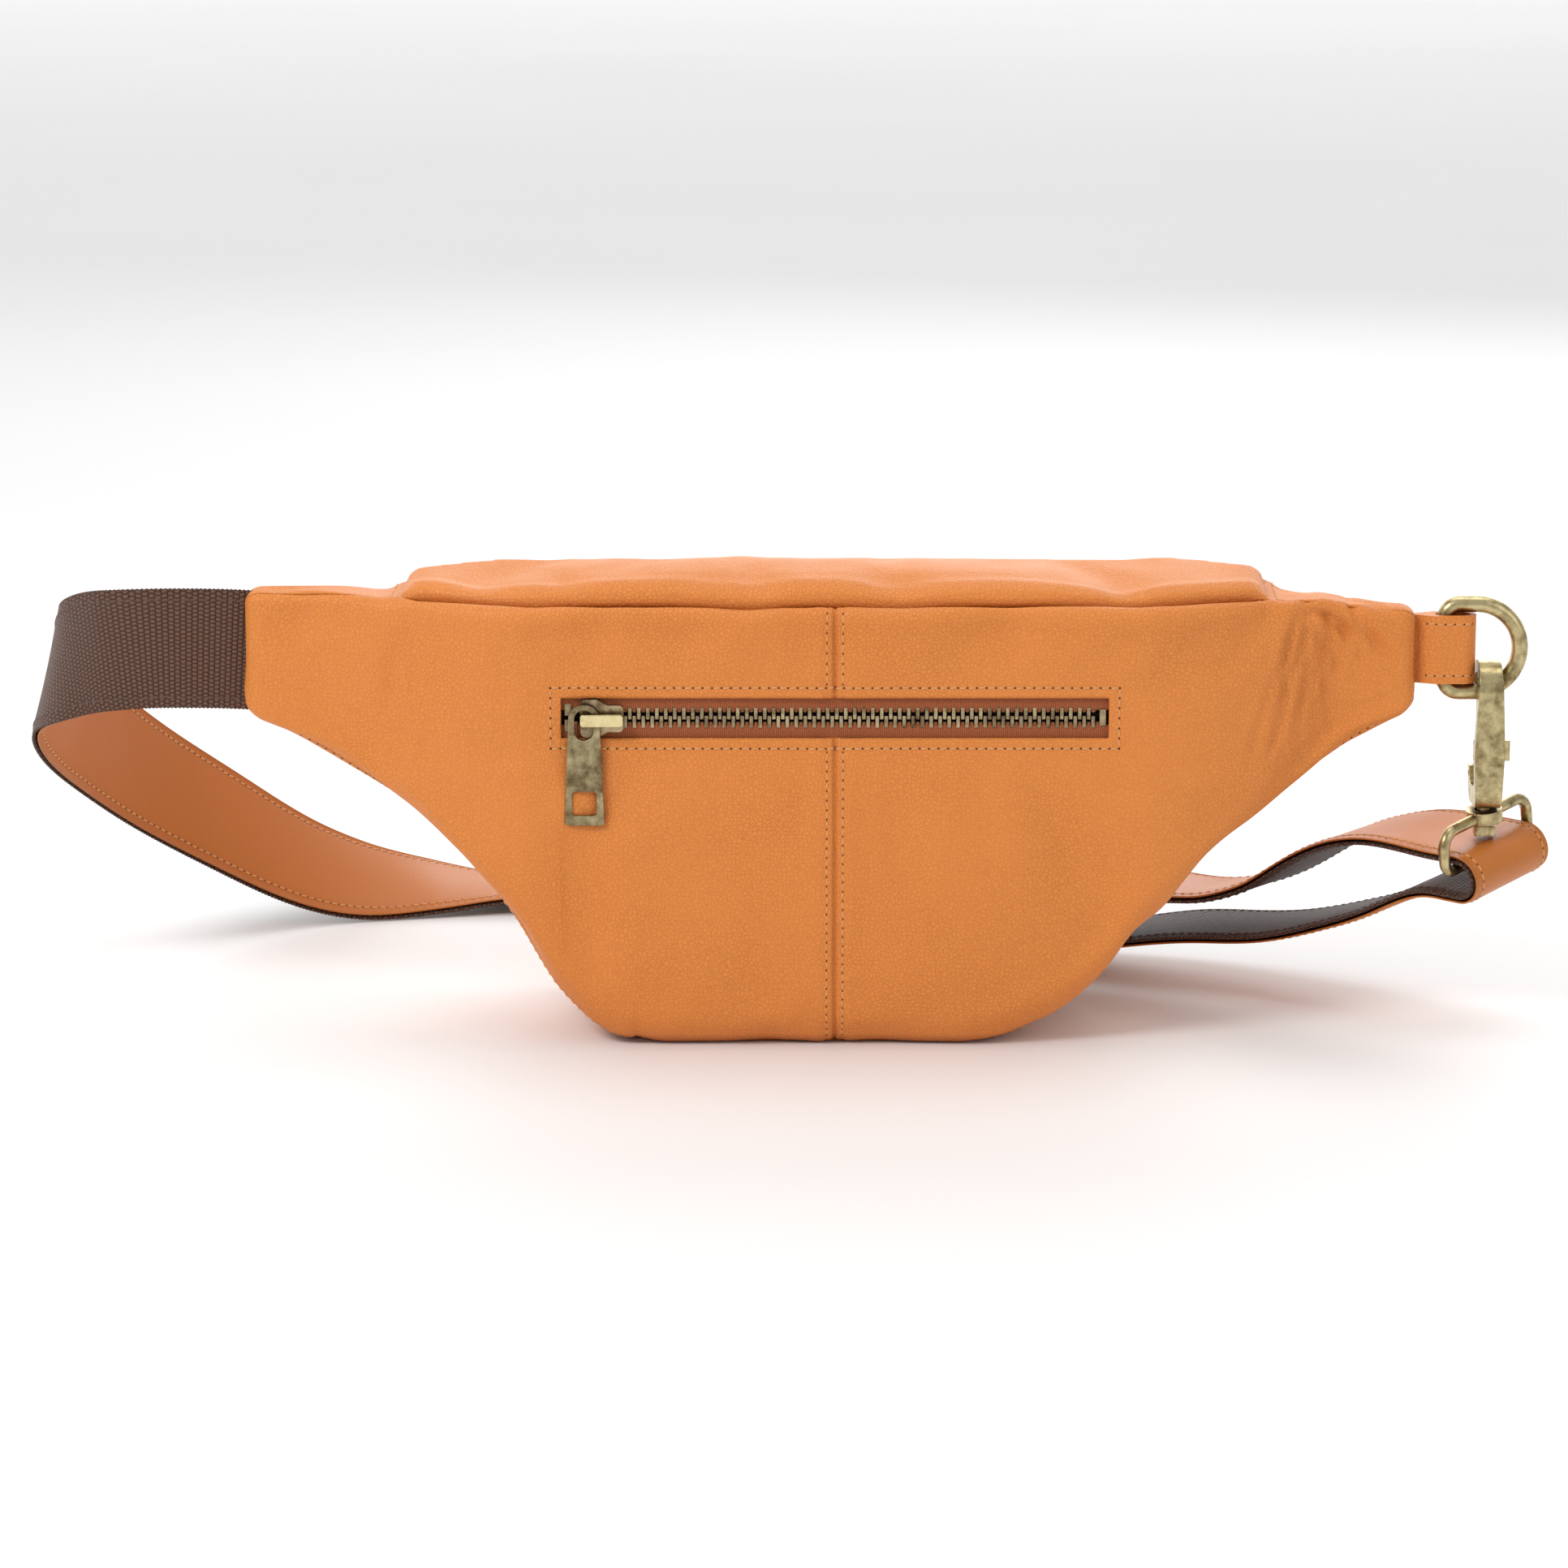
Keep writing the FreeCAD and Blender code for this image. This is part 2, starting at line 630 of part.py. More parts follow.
adjuster_middle = V(*run_stations[adjuster_station][:2], 0)
adjuster_across = V(*run_stations[adjuster_station][3:]).normalize()
adjuster_along = adjuster_across.cross(V(0, 0, 1))
wrap_radius = adjuster_wire / 2 + adjuster_play + webbing_thickness
wrap_bar_z = strap_leather_thickness + 2 * ply_gap + wrap_radius
wrap_middle = adjuster_middle + V(0, 0, wrap_bar_z)
wrap = hairpin(wrap_middle, adjuster_along, V(0, 0, -1), adjuster_across, wrap_radius)
wrap_tail = wrap_middle + adjuster_along * wrap_length + V(0, 0, wrap_radius)
wrap.append((wrap_tail.x, wrap_tail.y, wrap_tail.z, adjuster_across.x, adjuster_across.y, 0))

run_frames = frames_along(run_stations, run_step)
end_frames = frames_along(upper_stations + fold + lower_stations + wrap, end_step)
strap_run, strap_end = {}, {}
for ply, (half_width, low, high) in plies.items():
    strap_run[ply] = ribbon(run_frames, half_width, low, high)
    strap_end[ply] = ribbon(end_frames, half_width, low, high)
    save("strap_" + ply, [strap_run[ply]])
    save("strap_end_" + ply, [strap_end[ply]])


def adjuster():
    """A tri-glide: a wire frame over the strap, with its middle bar under it, in the end wrap."""
    radius = adjuster_wire / 2
    rail = webbing_width / 2 + adjuster_play + radius
    strap_top = run_stations[adjuster_station][2] + ply_gap + strap_leather_thickness
    top = strap_top + adjuster_play + radius + adjuster_rise

    def at(along, across, z):
        return adjuster_middle + adjuster_along * along + adjuster_across * across + V(0, 0, z)

    corners = [at(-adjuster_reach, -rail, top), at(adjuster_reach, -rail, top),
               at(adjuster_reach, rail, top), at(-adjuster_reach, rail, top)]
    pieces = [wire_ring(corners, [adjuster_round] * 4, adjuster_wire)]
    overhang = rail + radius + adjuster_overhang
    pieces.append(Part.makeCylinder(radius, 2 * overhang, at(0, -overhang, wrap_bar_z), adjuster_across))
    for side in (-rail, rail):
        foot = at(0, side, wrap_bar_z)
        pieces.append(Part.makeCylinder(radius - adjuster_post_slim, top - wrap_bar_z, foot, V(0, 0, 1)))
    return pieces[0].fuse(pieces[1:])


save("adjuster", [adjuster()])

# ---------------------------------------------------------------- ring and its tab
ring_radius = ring_wire / 2
ring_half = ring_inner_height / 2 + ring_radius
ring_reach = ring_inner_depth + ring_wire
ring_corners = [V(ring_bar_x, wing_mid_y, ring_mid_z - ring_half),
                V(ring_bar_x, wing_mid_y, ring_mid_z + ring_half),
                V(ring_bar_x + ring_reach, wing_mid_y, ring_mid_z + ring_half),
                V(ring_bar_x + ring_reach, wing_mid_y, ring_mid_z - ring_half)]
ring_bow = ring_half - 2 * full_round
save("d_ring", [wire_ring(ring_corners, [ring_round, ring_round, ring_bow, ring_bow], ring_wire)])


def ring_tab():
    slot_half = ring_radius + tab_clearance
    bulge = slot_half + tab_thickness
    low = ring_mid_z - tab_height / 2
    root_x = seam_start + tab_root
    flat_x, open_x = half_length + tab_flat_offset, half_length + tab_open_offset
    side = [(root_x, tab_thickness, tab_root_round), (flat_x, tab_thickness, tab_round),
            (open_x, bulge, tab_round), (tab_fold_x, bulge, bulge - full_round)]
    outline = [V(x, wing_mid_y - y, low) for x, y, radius in side]
    outline.extend(V(x, wing_mid_y + y, low) for x, y, radius in reversed(side))
    rounds = [radius for x, y, radius in side]
    loop = plate(outline, rounds + rounds[::-1], V(0, 0, tab_height))
    x0, x1 = ring_bar_x - slot_half, tab_fold_x - tab_thickness
    slot = plate([V(x0, wing_mid_y - slot_half, low), V(x1, wing_mid_y - slot_half, low),
                  V(x1, wing_mid_y + slot_half, low), V(x0, wing_mid_y + slot_half, low)],
                 [slot_half - full_round] * 4, V(0, 0, tab_height))
    return loop.cut(slot)


tab = ring_tab()
save("ring_tab", [tab])

# ---------------------------------------------------------------- snap hook
eye_half = hook_eye_width / 2
outer_half = eye_half + hook_band
eye_top_z = wire_low_z + eye_half + hook_eye_lift
hook_top_z = eye_top_z + hook_band
pivot_y = wing_mid_y + eye_half + hook_band / 2
pivot_z = eye_foot_z + pivot_rise
nose_z = wire_low_z - nose_drop


def side_plate(y0, y1, z0, z1, radii, half_width):
    corners = [V(hook_x - half_width, y0, z0), V(hook_x - half_width, y1, z0),
               V(hook_x - half_width, y1, z1), V(hook_x - half_width, y0, z1)]
    return plate(corners, radii, V(2 * half_width, 0, 0))


def snap_hook():
    y = wing_mid_y
    half = hook_mid_width / 2
    body = side_plate(y - outer_half, y + outer_half, base_z, hook_top_z,
                      [hook_body_round] * 2 + [outer_half - full_round] * 2, half)
    eye = side_plate(y - eye_half, y + eye_half, eye_foot_z, eye_top_z,
                     [hook_eye_round] * 2 + [eye_half - full_round] * 2, half)
    mouth = box(hook_x - half, hook_x + half, y + eye_half - mouth_margin, y + outer_half + mouth_margin,
                pivot_z + mouth_rise, nose_z)
    fork = gate_width / 2 + gate_clearance
    slot = box(hook_x - fork, hook_x + fork, y + eye_half - gate_slot_margin, y + outer_half + mouth_margin,
               pivot_z - gate_foot_radius - gate_clearance, pivot_z + gate_slot_rise)
    pin_hole = Part.makeCylinder(pin_radius, 2 * half, V(hook_x - half, pivot_y, pivot_z), V(1, 0, 0))
    stem_hole = Part.makeCylinder(stem_radius, stem_depth, V(hook_x, y, base_z), V(0, 0, 1))
    body = body.cut([eye, mouth, slot, pin_hole, stem_hole])
    top, base = hook_top_width / 2, hook_base_width / 2
    mid_z = mix(base_z, hook_top_z, hook_mid_share)
    near = y - 2 * outer_half
    front = plate([V(hook_x - base, near, base_z), V(hook_x + base, near, base_z),
                   V(hook_x + half, near, mid_z), V(hook_x + top, near, hook_top_z),
                   V(hook_x - top, near, hook_top_z), V(hook_x - half, near, mid_z)],
                  ([hook_side_round] * 2 + [hook_front_round] + [hook_side_round] * 2 + [hook_front_round]),
                  V(0, 4 * outer_half, 0))
    return body.common(front)


def hook_gate():
    """The sprung gate: a bar from the pin up to the nose, with a ridged thumb lever."""
    half = gate_width / 2
    y0 = pivot_y - gate_thickness / 2
    bar = box(hook_x - half, hook_x + half, y0, y0 + gate_thickness, pivot_z, nose_z - gate_clearance)
    foot = Part.makeCylinder(gate_foot_radius, gate_width, V(hook_x - half, pivot_y, pivot_z), V(1, 0, 0))
    lever_y = wing_mid_y + outer_half + gate_clearance
    lever_back = lever_y + lever_plate
    lever_low = pivot_z + lever_rise
    lever_top = lever_low + lever_height
    x0, x1 = hook_x - lever_left, hook_x + lever_right
    pieces = [foot, box(hook_x - half, hook_x + half, y0 + gate_thickness, lever_y + lever_neck,
                        lever_low, lever_top)]
    pieces.append(box(x0, x1, lever_y, lever_back, lever_low, lever_top))
    for ridge in range(ridge_count):
        z = lever_low + ridge_width + ridge * ridge_pitch
        pieces.append(box(x0, x1, lever_back, lever_back + ridge_height, z, z + ridge_width))
    gate = bar.fuse(pieces).removeSplitter()
    spring_room = box(hook_x - half - mouth_margin, hook_x - half - mouth_margin + spring_room_width,
                      pivot_y - spring_room_half, pivot_y + spring_room_half,
                      pivot_z - spring_room_half, pivot_z + spring_room_rise)
    bore_radius = pin_radius + pin_play
    bore = Part.makeCylinder(bore_radius, gate_width, V(hook_x - half, pivot_y, pivot_z), V(1, 0, 0))
    return gate.cut([bore, spring_room])


def gate_spring():
    helix = Part.makeHelix(spring_pitch, spring_length, spring_radius)
    circle = Part.makeCircle(spring_wire / 2, V(spring_radius, 0, 0), V(0, 1, spring_slant))
    coil = Part.Wire(helix.Edges).makePipeShell([Part.Wire([circle])], True, True)
    coil.rotate(V(0, 0, 0), V(0, 1, 0), 90)
    coil.translate(V(hook_x - gate_width / 2 + spring_side_gap, pivot_y, pivot_z))
    return coil


def swivel_rivet():
    """The stem riveted into the hook's base, with the square head that holds the collar."""
    head_top = collar_z - collar_height / 2 - collar_end_play
    head_low = head_top - rivet_head_height
    stem_length = base_z + stem_depth - head_top
    stem = Part.makeCylinder(stem_radius, stem_length, V(hook_x, wing_mid_y, head_top), V(0, 0, 1))
    x0, x1 = hook_x - rivet_head / 2, hook_x + rivet_head / 2
    y0, y1 = wing_mid_y - rivet_head / 2, wing_mid_y + rivet_head / 2
    head = plate([V(x0, y0, head_low), V(x1, y0, head_low), V(x1, y1, head_low), V(x0, y1, head_low)],
                 [rivet_head_round] * 4, V(0, 0, rivet_head_height))
    return stem.fuse(head)


def swivel_loop():
    """The collar round the stem and the wire loop that carries the strap's fold."""
    centre = V(hook_x, wing_mid_y, collar_z)
    half = loop_inner / 2 + loop_wire / 2
    corners = [bar_middle - bar_along * half, bar_middle + bar_along * half,
               centre + bar_along * half, centre - bar_along * half]
    loop = wire_ring(corners, [loop_low_round] * 2 + [loop_top_round] * 2, loop_wire)
    bore_radius = stem_radius + collar_play
    low = centre - bar_up * (collar_height / 2)
    collar = Part.makeCylinder(bore_radius + collar_wall, collar_height, low, bar_up)
    bore = Part.makeCylinder(bore_radius, 2 * collar_height, low - bar_up * (collar_height / 2), bar_up)
    return loop.fuse(collar).cut(bore)


save("snap_hook", [snap_hook()])
save("hook_gate", [hook_gate()])
pin_half = hook_mid_width / 2 - pin_inset
pin_end = V(hook_x - pin_half, pivot_y, pivot_z)
save("gate_pin", [Part.makeCylinder(pin_radius, 2 * pin_half, pin_end, V(1, 0, 0))])
save("gate_spring", [gate_spring()])
save("swivel_rivet", [swivel_rivet()])
save("swivel_loop", [swivel_loop()])

# ---------------------------------------------------------------- panels, linings and padding
root_x, root_y, root_z = run_stations[0][:3]
slot_half = webbing_width / 2 + slot_clearance
strap_slot = box(-half_length - slot_depth, root_x + slot_depth,
                 root_y - webbing_thickness - 2 * slot_clearance,
                 root_y + strap_leather_thickness + ply_gap + slot_clearance,
                 root_z - slot_half, root_z + slot_half + slot_clearance)
fixings = [tab, strap_slot]
rear_window = placed(window_tool(0, 0), rear_frame)
main_window = placed(window_tool(0, 0), main_frame)
rear_skin = skin.common(rear_side).cut(fixings + [rear_window])
save("rear_panel_left", [rear_skin.common(box(-far, -panel_gap / 2, -wide, wide, -below, far))])
save("rear_panel_right", [rear_skin.common(box(panel_gap / 2, far, -wide, wide, -below, far))])
save("front_panel", [skin.common(front_side).cut(fixings)])
band = skin.cut([rear_side, front_side]).cut(fixings)
top_zone = box(-top_panel_half, top_panel_half, -wide, wide, front_shoulder_z - top_panel_zone, far)
save("top_panel", [band.common(top_zone).cut(main_window)])
save("gusset", [band.cut(top_zone)])

inner_rear = rear_y + leather_thickness
seam_tape_y = inner_rear + seam_tape_gap
seam_tape = box(-seam_tape_half, seam_tape_half, seam_tape_y, seam_tape_y + seam_tape_thickness,
                seam_tape_low, rear_zip_z - tape_reach - seam_tape_top_gap)
save("centre_seam_tape", [seam_tape])

lining_out = leather_thickness + lining_gap
pocket_deep = inner_rear + pocket_depth
pocket_near = inner_rear + tape_gap + tape_thickness + pocket_tape_gap
pocket_half = window_half + pocket_side_margin


def pocket(distance, shrink):
    return pouch_loft(distance).common(box(
        shrink - pocket_half, pocket_half - shrink, pocket_near + shrink, pocket_deep - shrink,
        pocket_floor_z + shrink, rear_zip_z + tape_reach - shrink))


pocket_mouth = placed(window_tool(mouth_margin_u, mouth_margin_v), rear_frame)
pocket_shell = pocket(lining_out, 0).cut(pocket(lining_out + lining_thickness, lining_thickness))
save("rear_pocket_lining", [pocket_shell.cut(pocket_mouth)])


def main_space(distance, shrink):
    half, near = lining_half - shrink, pocket_deep + pocket_to_main + shrink
    return pouch_loft(distance).common(box(-half, half, near, wide, -below, far))


main_mouth_half = tape_reach + main_mouth_side
main_mouth = placed(box(-window_half - main_mouth_margin, window_half + main_mouth_margin,
                        -main_mouth_half, main_mouth_half, -below, below), main_frame)
lining_shell = main_space(lining_out, 0).cut(main_space(lining_out + lining_thickness, lining_thickness))
save("main_lining", [lining_shell.cut(main_mouth)])

foam = pouch_loft(leather_thickness + foam_gap)
foam_end = seam_start - foam_gap
save("wing_foam_left", [foam.common(box(-foam_end, -foam_start, -wide, wide, -below, far)).cut(fixings)])
save("wing_foam_right", [foam.common(box(foam_start, foam_end, -wide, wide, -below, far)).cut(fixings)])
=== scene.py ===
import json
import math

import bpy
import numpy as np
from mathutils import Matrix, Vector, noise
from mathutils.bvhtree import BVHTree


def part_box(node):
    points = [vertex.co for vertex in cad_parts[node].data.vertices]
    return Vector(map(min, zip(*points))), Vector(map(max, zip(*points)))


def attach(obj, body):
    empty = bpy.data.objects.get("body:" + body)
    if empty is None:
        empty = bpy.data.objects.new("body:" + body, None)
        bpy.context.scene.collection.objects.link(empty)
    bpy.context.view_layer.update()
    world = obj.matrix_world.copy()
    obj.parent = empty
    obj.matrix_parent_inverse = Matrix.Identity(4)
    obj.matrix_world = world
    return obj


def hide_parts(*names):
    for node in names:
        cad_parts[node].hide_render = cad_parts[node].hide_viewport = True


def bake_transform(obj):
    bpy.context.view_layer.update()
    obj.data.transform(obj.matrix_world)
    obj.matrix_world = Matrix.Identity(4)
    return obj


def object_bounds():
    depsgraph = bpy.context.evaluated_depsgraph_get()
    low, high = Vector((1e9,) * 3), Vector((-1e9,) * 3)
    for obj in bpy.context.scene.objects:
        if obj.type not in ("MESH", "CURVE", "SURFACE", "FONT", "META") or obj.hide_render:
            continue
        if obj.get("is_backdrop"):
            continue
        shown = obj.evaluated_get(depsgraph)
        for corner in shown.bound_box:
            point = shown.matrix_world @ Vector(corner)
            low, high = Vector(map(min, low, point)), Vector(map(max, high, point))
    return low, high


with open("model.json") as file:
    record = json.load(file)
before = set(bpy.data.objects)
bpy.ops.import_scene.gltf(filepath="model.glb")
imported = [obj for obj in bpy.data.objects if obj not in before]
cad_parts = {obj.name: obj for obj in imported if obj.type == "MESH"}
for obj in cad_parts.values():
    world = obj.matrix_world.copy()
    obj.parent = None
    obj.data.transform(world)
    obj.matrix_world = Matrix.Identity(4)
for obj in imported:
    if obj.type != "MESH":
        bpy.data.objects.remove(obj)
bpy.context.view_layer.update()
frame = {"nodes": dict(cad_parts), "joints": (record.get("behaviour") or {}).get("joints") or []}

mm = 0.001
nodes = frame["nodes"]
joints = {joint["name"]: joint for joint in frame["joints"]}


def addMesh(name, verts, faces, smooth=True):
    mesh = bpy.data.meshes.new(name)
    mesh.from_pydata([tuple(v) for v in verts], [], [tuple(f) for f in faces])
    mesh.validate()
    if smooth:
        mesh.polygons.foreach_set("use_smooth", [True] * len(mesh.polygons))
    obj = bpy.data.objects.new(name, mesh)
    bpy.context.scene.collection.objects.link(obj)
    return obj


def gridFaces(rows, columns, closed=False):
    faces = []
    for i in range(rows - 1):
        for j in range(columns if closed else columns - 1):
            k = (j + 1) % columns
            faces.append((i * columns + j, i * columns + k, (i + 1) * columns + k, (i + 1) * columns + j))
    return faces


def thicken(obj, thickness):
    solid = obj.modifiers.new("Thickness", "SOLIDIFY")
    solid.thickness = thickness
    solid.offset = -1.0


def setClothUv(obj, uvs):
    # a place in the cloth for every vertex, for the woven materials
    index = np.zeros(len(obj.data.loops), int)
    obj.data.loops.foreach_get("vertex_index", index)
    layer = obj.data.uv_layers.new(name="cloth")
    layer.data.foreach_set("uv", np.array(uvs)[index].ravel())


def unit(vector):
    return vector / np.linalg.norm(vector)


def pointAt(at, lengths, values):
    return np.array([np.interp(at, lengths, values[:, i]) for i in range(3)])


def swell(gap, height, middle, width):
    return height * np.exp(-((gap - middle) / width) ** 2)


# ---- materials ----
def startMaterial(name):
    material = bpy.data.materials.new(name)
    material.use_nodes = True
    tree = material.node_tree
    return material, tree, tree.nodes["Principled BSDF"]


def addNode(tree, kind, values=None, **settings):
    node = tree.nodes.new("ShaderNode" + kind)
    for key, value in settings.items():
        setattr(node, key, value)
    for key, value in (values or {}).items():
        if isinstance(value, bpy.types.NodeSocket):
            tree.links.new(value, node.inputs[key])
        else:
            node.inputs[key].default_value = value
    return node


def calc(tree, operation, a, b=0.0, clamp=False):
    return addNode(tree, "Math", {0: a, 1: b}, operation=operation, use_clamp=clamp).outputs[0]


def times(tree, a, b, clamp=False):
    return calc(tree, "MULTIPLY", a, b, clamp)


def objectPlace(tree):
    return addNode(tree, "TexCoord").outputs["Object"]


def noiseAt(tree, place, scale, detail):
    return addNode(tree, "TexNoise", {"Vector": place, "Scale": scale, "Detail": detail}).outputs["Fac"]


def ramp(tree, factor, stops):
    node = addNode(tree, "ValToRGB", {"Fac": factor})
    elements = node.color_ramp.elements
    while len(elements) < len(stops):
        elements.new(0.5)
    for element, (place, color) in zip(elements, stops):
        element.position = place
        element.color = (*color, 1)
    return node.outputs["Color"]


def grey(value):
    return (value, value, value)


def mixColor(tree, factor, a, b):
    node = addNode(tree, "Mix", data_type="RGBA")
    for socket, value in ((node.inputs[0], factor), (node.inputs[6], a), (node.inputs[7], b)):
        if isinstance(value, bpy.types.NodeSocket):
            tree.links.new(value, socket)
        else:
            socket.default_value = (*value, 1)
    return node.outputs[2]


def bump(tree, height, distance, strength, below=None):
    values = {"Height": height, "Distance": distance, "Strength": strength}
    if below:
        values["Normal"] = below
    return addNode(tree, "Bump", values).outputs["Normal"]


leather = {
    "pouchColor": (0.73, 0.232, 0.042), "pouchDeep": (0.42, 0.105, 0.014), "pouchLight": (0.78, 0.262, 0.054),
    # the strap colours are the pouch leather's, darkened: painted shade of the strap in its loop
    "strapColor": (0.50, 0.152, 0.024), "strapDeep": (0.33, 0.085, 0.012), "strapLight": (0.57, 0.182, 0.034),
    "pebbleSize": 1.2 * mm, "creaseDepth": 0.17 * mm,
}


def leatherMaterial(name, color, deep, light, pebble, depth, roughness, creaseShare):
    material, tree, shader = startMaterial(name)
    place = objectPlace(tree)
    warp = addNode(tree, "TexNoise", {"Vector": place, "Scale": 0.35 / pebble, "Detail": 2.0})
    shifted = addNode(tree, "VectorMath", {0: warp.outputs["Color"], 1: (pebble * 1.1,) * 3},
                      operation="MULTIPLY")
    warped = addNode(tree, "VectorMath", {0: place, 1: shifted.outputs[0]}, operation="ADD").outputs[0]
    edges = addNode(tree, "TexVoronoi", {"Vector": warped, "Scale": 1 / pebble, "Randomness": 0.9},
                    feature="DISTANCE_TO_EDGE").outputs["Distance"]
    domes = addNode(tree, "TexVoronoi", {"Vector": warped, "Scale": 1 / pebble, "Randomness": 0.9},
                    feature="SMOOTH_F1").outputs["Distance"]
    small = addNode(tree, "TexVoronoi", {"Vector": warped, "Scale": 2.6 / pebble},
                    feature="DISTANCE_TO_EDGE").outputs["Distance"]
    pores = noiseAt(tree, place, 6.5 / pebble, 3.0)
    patches = noiseAt(tree, place, 28.0, 3.0)
    clouds = noiseAt(tree, place, 9.0, 4.0)
    creases = ramp(tree, edges, [(0.0, grey(0.0)), (0.07, grey(0.72)), (0.2, grey(1.0))])
    opened = addNode(tree, "MapRange", {"Value": patches, "From Min": 0.25, "From Max": 0.75,
                                        "To Min": 0.55, "To Max": 1.0}).outputs[0]
    shown = times(tree, opened, creaseShare, clamp=True)
    crease = calc(tree, "SUBTRACT", 1.0, times(tree, calc(tree, "SUBTRACT", 1.0, creases), shown))
    base = mixColor(tree, clouds, color, light)
    # ambient occlusion darkens the colour towards the deep tone in recesses: painted shade
    hollow = addNode(tree, "AmbientOcclusion", {"Distance": 3.5 * mm}, samples=6).outputs["AO"]
    shade = times(tree, calc(tree, "SUBTRACT", 1.0, calc(tree, "POWER", hollow, 1.5)), 0.75)
    # the grain's creases are darkened towards the deep tone: painted shade in the creases
    creasePaintedShadeColor = mixColor(tree, times(tree, calc(tree, "SUBTRACT", 1.0, crease), 0.42), base, deep)
    # the pores and the painted shade both pull the colour towards the deep tone
    poresAndPaintedShade = mixColor(tree, calc(tree, "MAXIMUM", shade, times(tree, calc(
        tree, "GREATER_THAN", pores, 0.66), 0.16)), creasePaintedShadeColor, deep)
    tree.links.new(poresAndPaintedShade, shader.inputs["Base Color"])
    rough = addNode(tree, "MapRange", {"Value": patches, "From Min": 0.3, "From Max": 0.7,
                                       "To Min": roughness - 0.06, "To Max": roughness + 0.08}).outputs[0]
    tree.links.new(rough, shader.inputs["Roughness"])
    shader.inputs["Specular IOR Level"].default_value = 0.34
    hill = calc(tree, "SUBTRACT", times(tree, crease, 1.0), times(tree, domes, 0.85))
    fine = calc(tree, "ADD", times(tree, small, 0.5), times(tree, pores, 0.35))
    first = bump(tree, hill, depth, 0.9)
    tree.links.new(bump(tree, fine, depth * 0.45, 0.6, first), shader.inputs["Normal"])
    return material


def weaveMaterial(name, dark, light, pitchAlong, pitchAcross, depth, roughness, sheen):
    material, tree, shader = startMaterial(name)
    uv = addNode(tree, "SeparateXYZ", {0: addNode(tree, "UVMap", uv_map="cloth").outputs[0]})
    place = objectPlace(tree)
    wander = noiseAt(tree, place, 420.0, 1.0)
    along = calc(tree, "DIVIDE", uv.outputs[0], pitchAlong)
    across = calc(tree, "DIVIDE", uv.outputs[1], pitchAcross)
    across = calc(tree, "ADD", across, times(tree, calc(tree, "SUBTRACT", wander, 0.5), 0.45))
    column = calc(tree, "FLOOR", along)
    offset = times(tree, calc(tree, "MODULO", column, 2.0), 0.5)
    ribs = calc(tree, "ABSOLUTE", calc(tree, "SINE", times(tree, along, math.pi)))
    stepped = calc(tree, "ADD", across, offset)
    floats = calc(tree, "ABSOLUTE", calc(tree, "SINE", times(tree, stepped, math.pi)))
    height = times(tree, calc(tree, "POWER", ribs, 0.55), calc(tree, "POWER", floats, 0.8))
    fuzz = noiseAt(tree, place, 2600.0, 4.0)
    fibres = addNode(tree, "TexWave", {"Vector": place, "Scale": 1500.0, "Distortion": 3.0, "Detail": 2.0})
    # the weave's colour follows its height, with fibre noise: painted shade in the hollows, painted highlight
    # on the floats
    lit = calc(tree, "ADD", times(tree, height, 0.8), times(tree, fuzz, 0.25))
    between = [(a + b) / 2 for a, b in zip(dark, light)]
    tree.links.new(ramp(tree, lit, [(0.12, dark), (0.5, between), (1.0, light)]), shader.inputs["Base Color"])
    shader.inputs["Roughness"].default_value = roughness
    shader.inputs["Sheen Weight"].default_value = sheen
    shader.inputs["Sheen Roughness"].default_value = 0.4
    shader.inputs["Specular IOR Level"].default_value = 0.35
    first = bump(tree, height, depth, 1.0)
    strands = calc(tree, "ADD", times(tree, fibres.outputs["Fac"], 0.5), fuzz)
    tree.links.new(bump(tree, strands, depth * 0.18, 0.7, first), shader.inputs["Normal"])
    return material


def metalMaterial(name, bright, patina, roughness, brushed, wear, easing):
    material, tree, shader = startMaterial(name)
    place = objectPlace(tree)
    stretched = addNode(tree, "Mapping", {"Vector": place, "Scale": brushed}).outputs[0]
    lines = noiseAt(tree, stretched, 1.0, 5.0)
    blotches = addNode(tree, "TexNoise", {"Vector": place, "Scale": 330.0, "Detail": 5.0,
                                          "Roughness": 0.62}).outputs["Fac"]
    clouds = noiseAt(tree, place, 90.0, 3.0)
    worn = calc(tree, "ADD", times(tree, blotches, 0.6), times(tree, clouds, 0.4))
    shade = addNode(tree, "MapRange", {"Value": worn, "From Min": wear[0], "From Max": wear[1]}).outputs[0]
    dirt = addNode(tree, "AmbientOcclusion", {"Distance": 2.5 * mm}, samples=6).outputs["AO"]
    hollow = calc(tree, "POWER", dirt, 1.6)
    factor = times(tree, shade, hollow, clamp=True)
    toned = mixColor(tree, factor, patina, bright)
    lined = mixColor(tree, times(tree, lines, 0.42), toned, patina)
    eased = addNode(tree, "Bevel", {"Radius": easing * mm}, samples=4).outputs[0] if easing else None
    tree.links.new(lined, shader.inputs["Base Color"])
    shader.inputs["Metallic"].default_value = 1.0
    rough = addNode(tree, "MapRange", {"Value": lines, "To Min": roughness - 0.08, "To Max": roughness + 0.16})
    tree.links.new(rough.outputs[0], shader.inputs["Roughness"])
    dents = bump(tree, blotches, 0.02 * mm, 0.2, eased)
    tree.links.new(bump(tree, lines, 0.025 * mm, 0.55, dents), shader.inputs["Normal"])
    return material


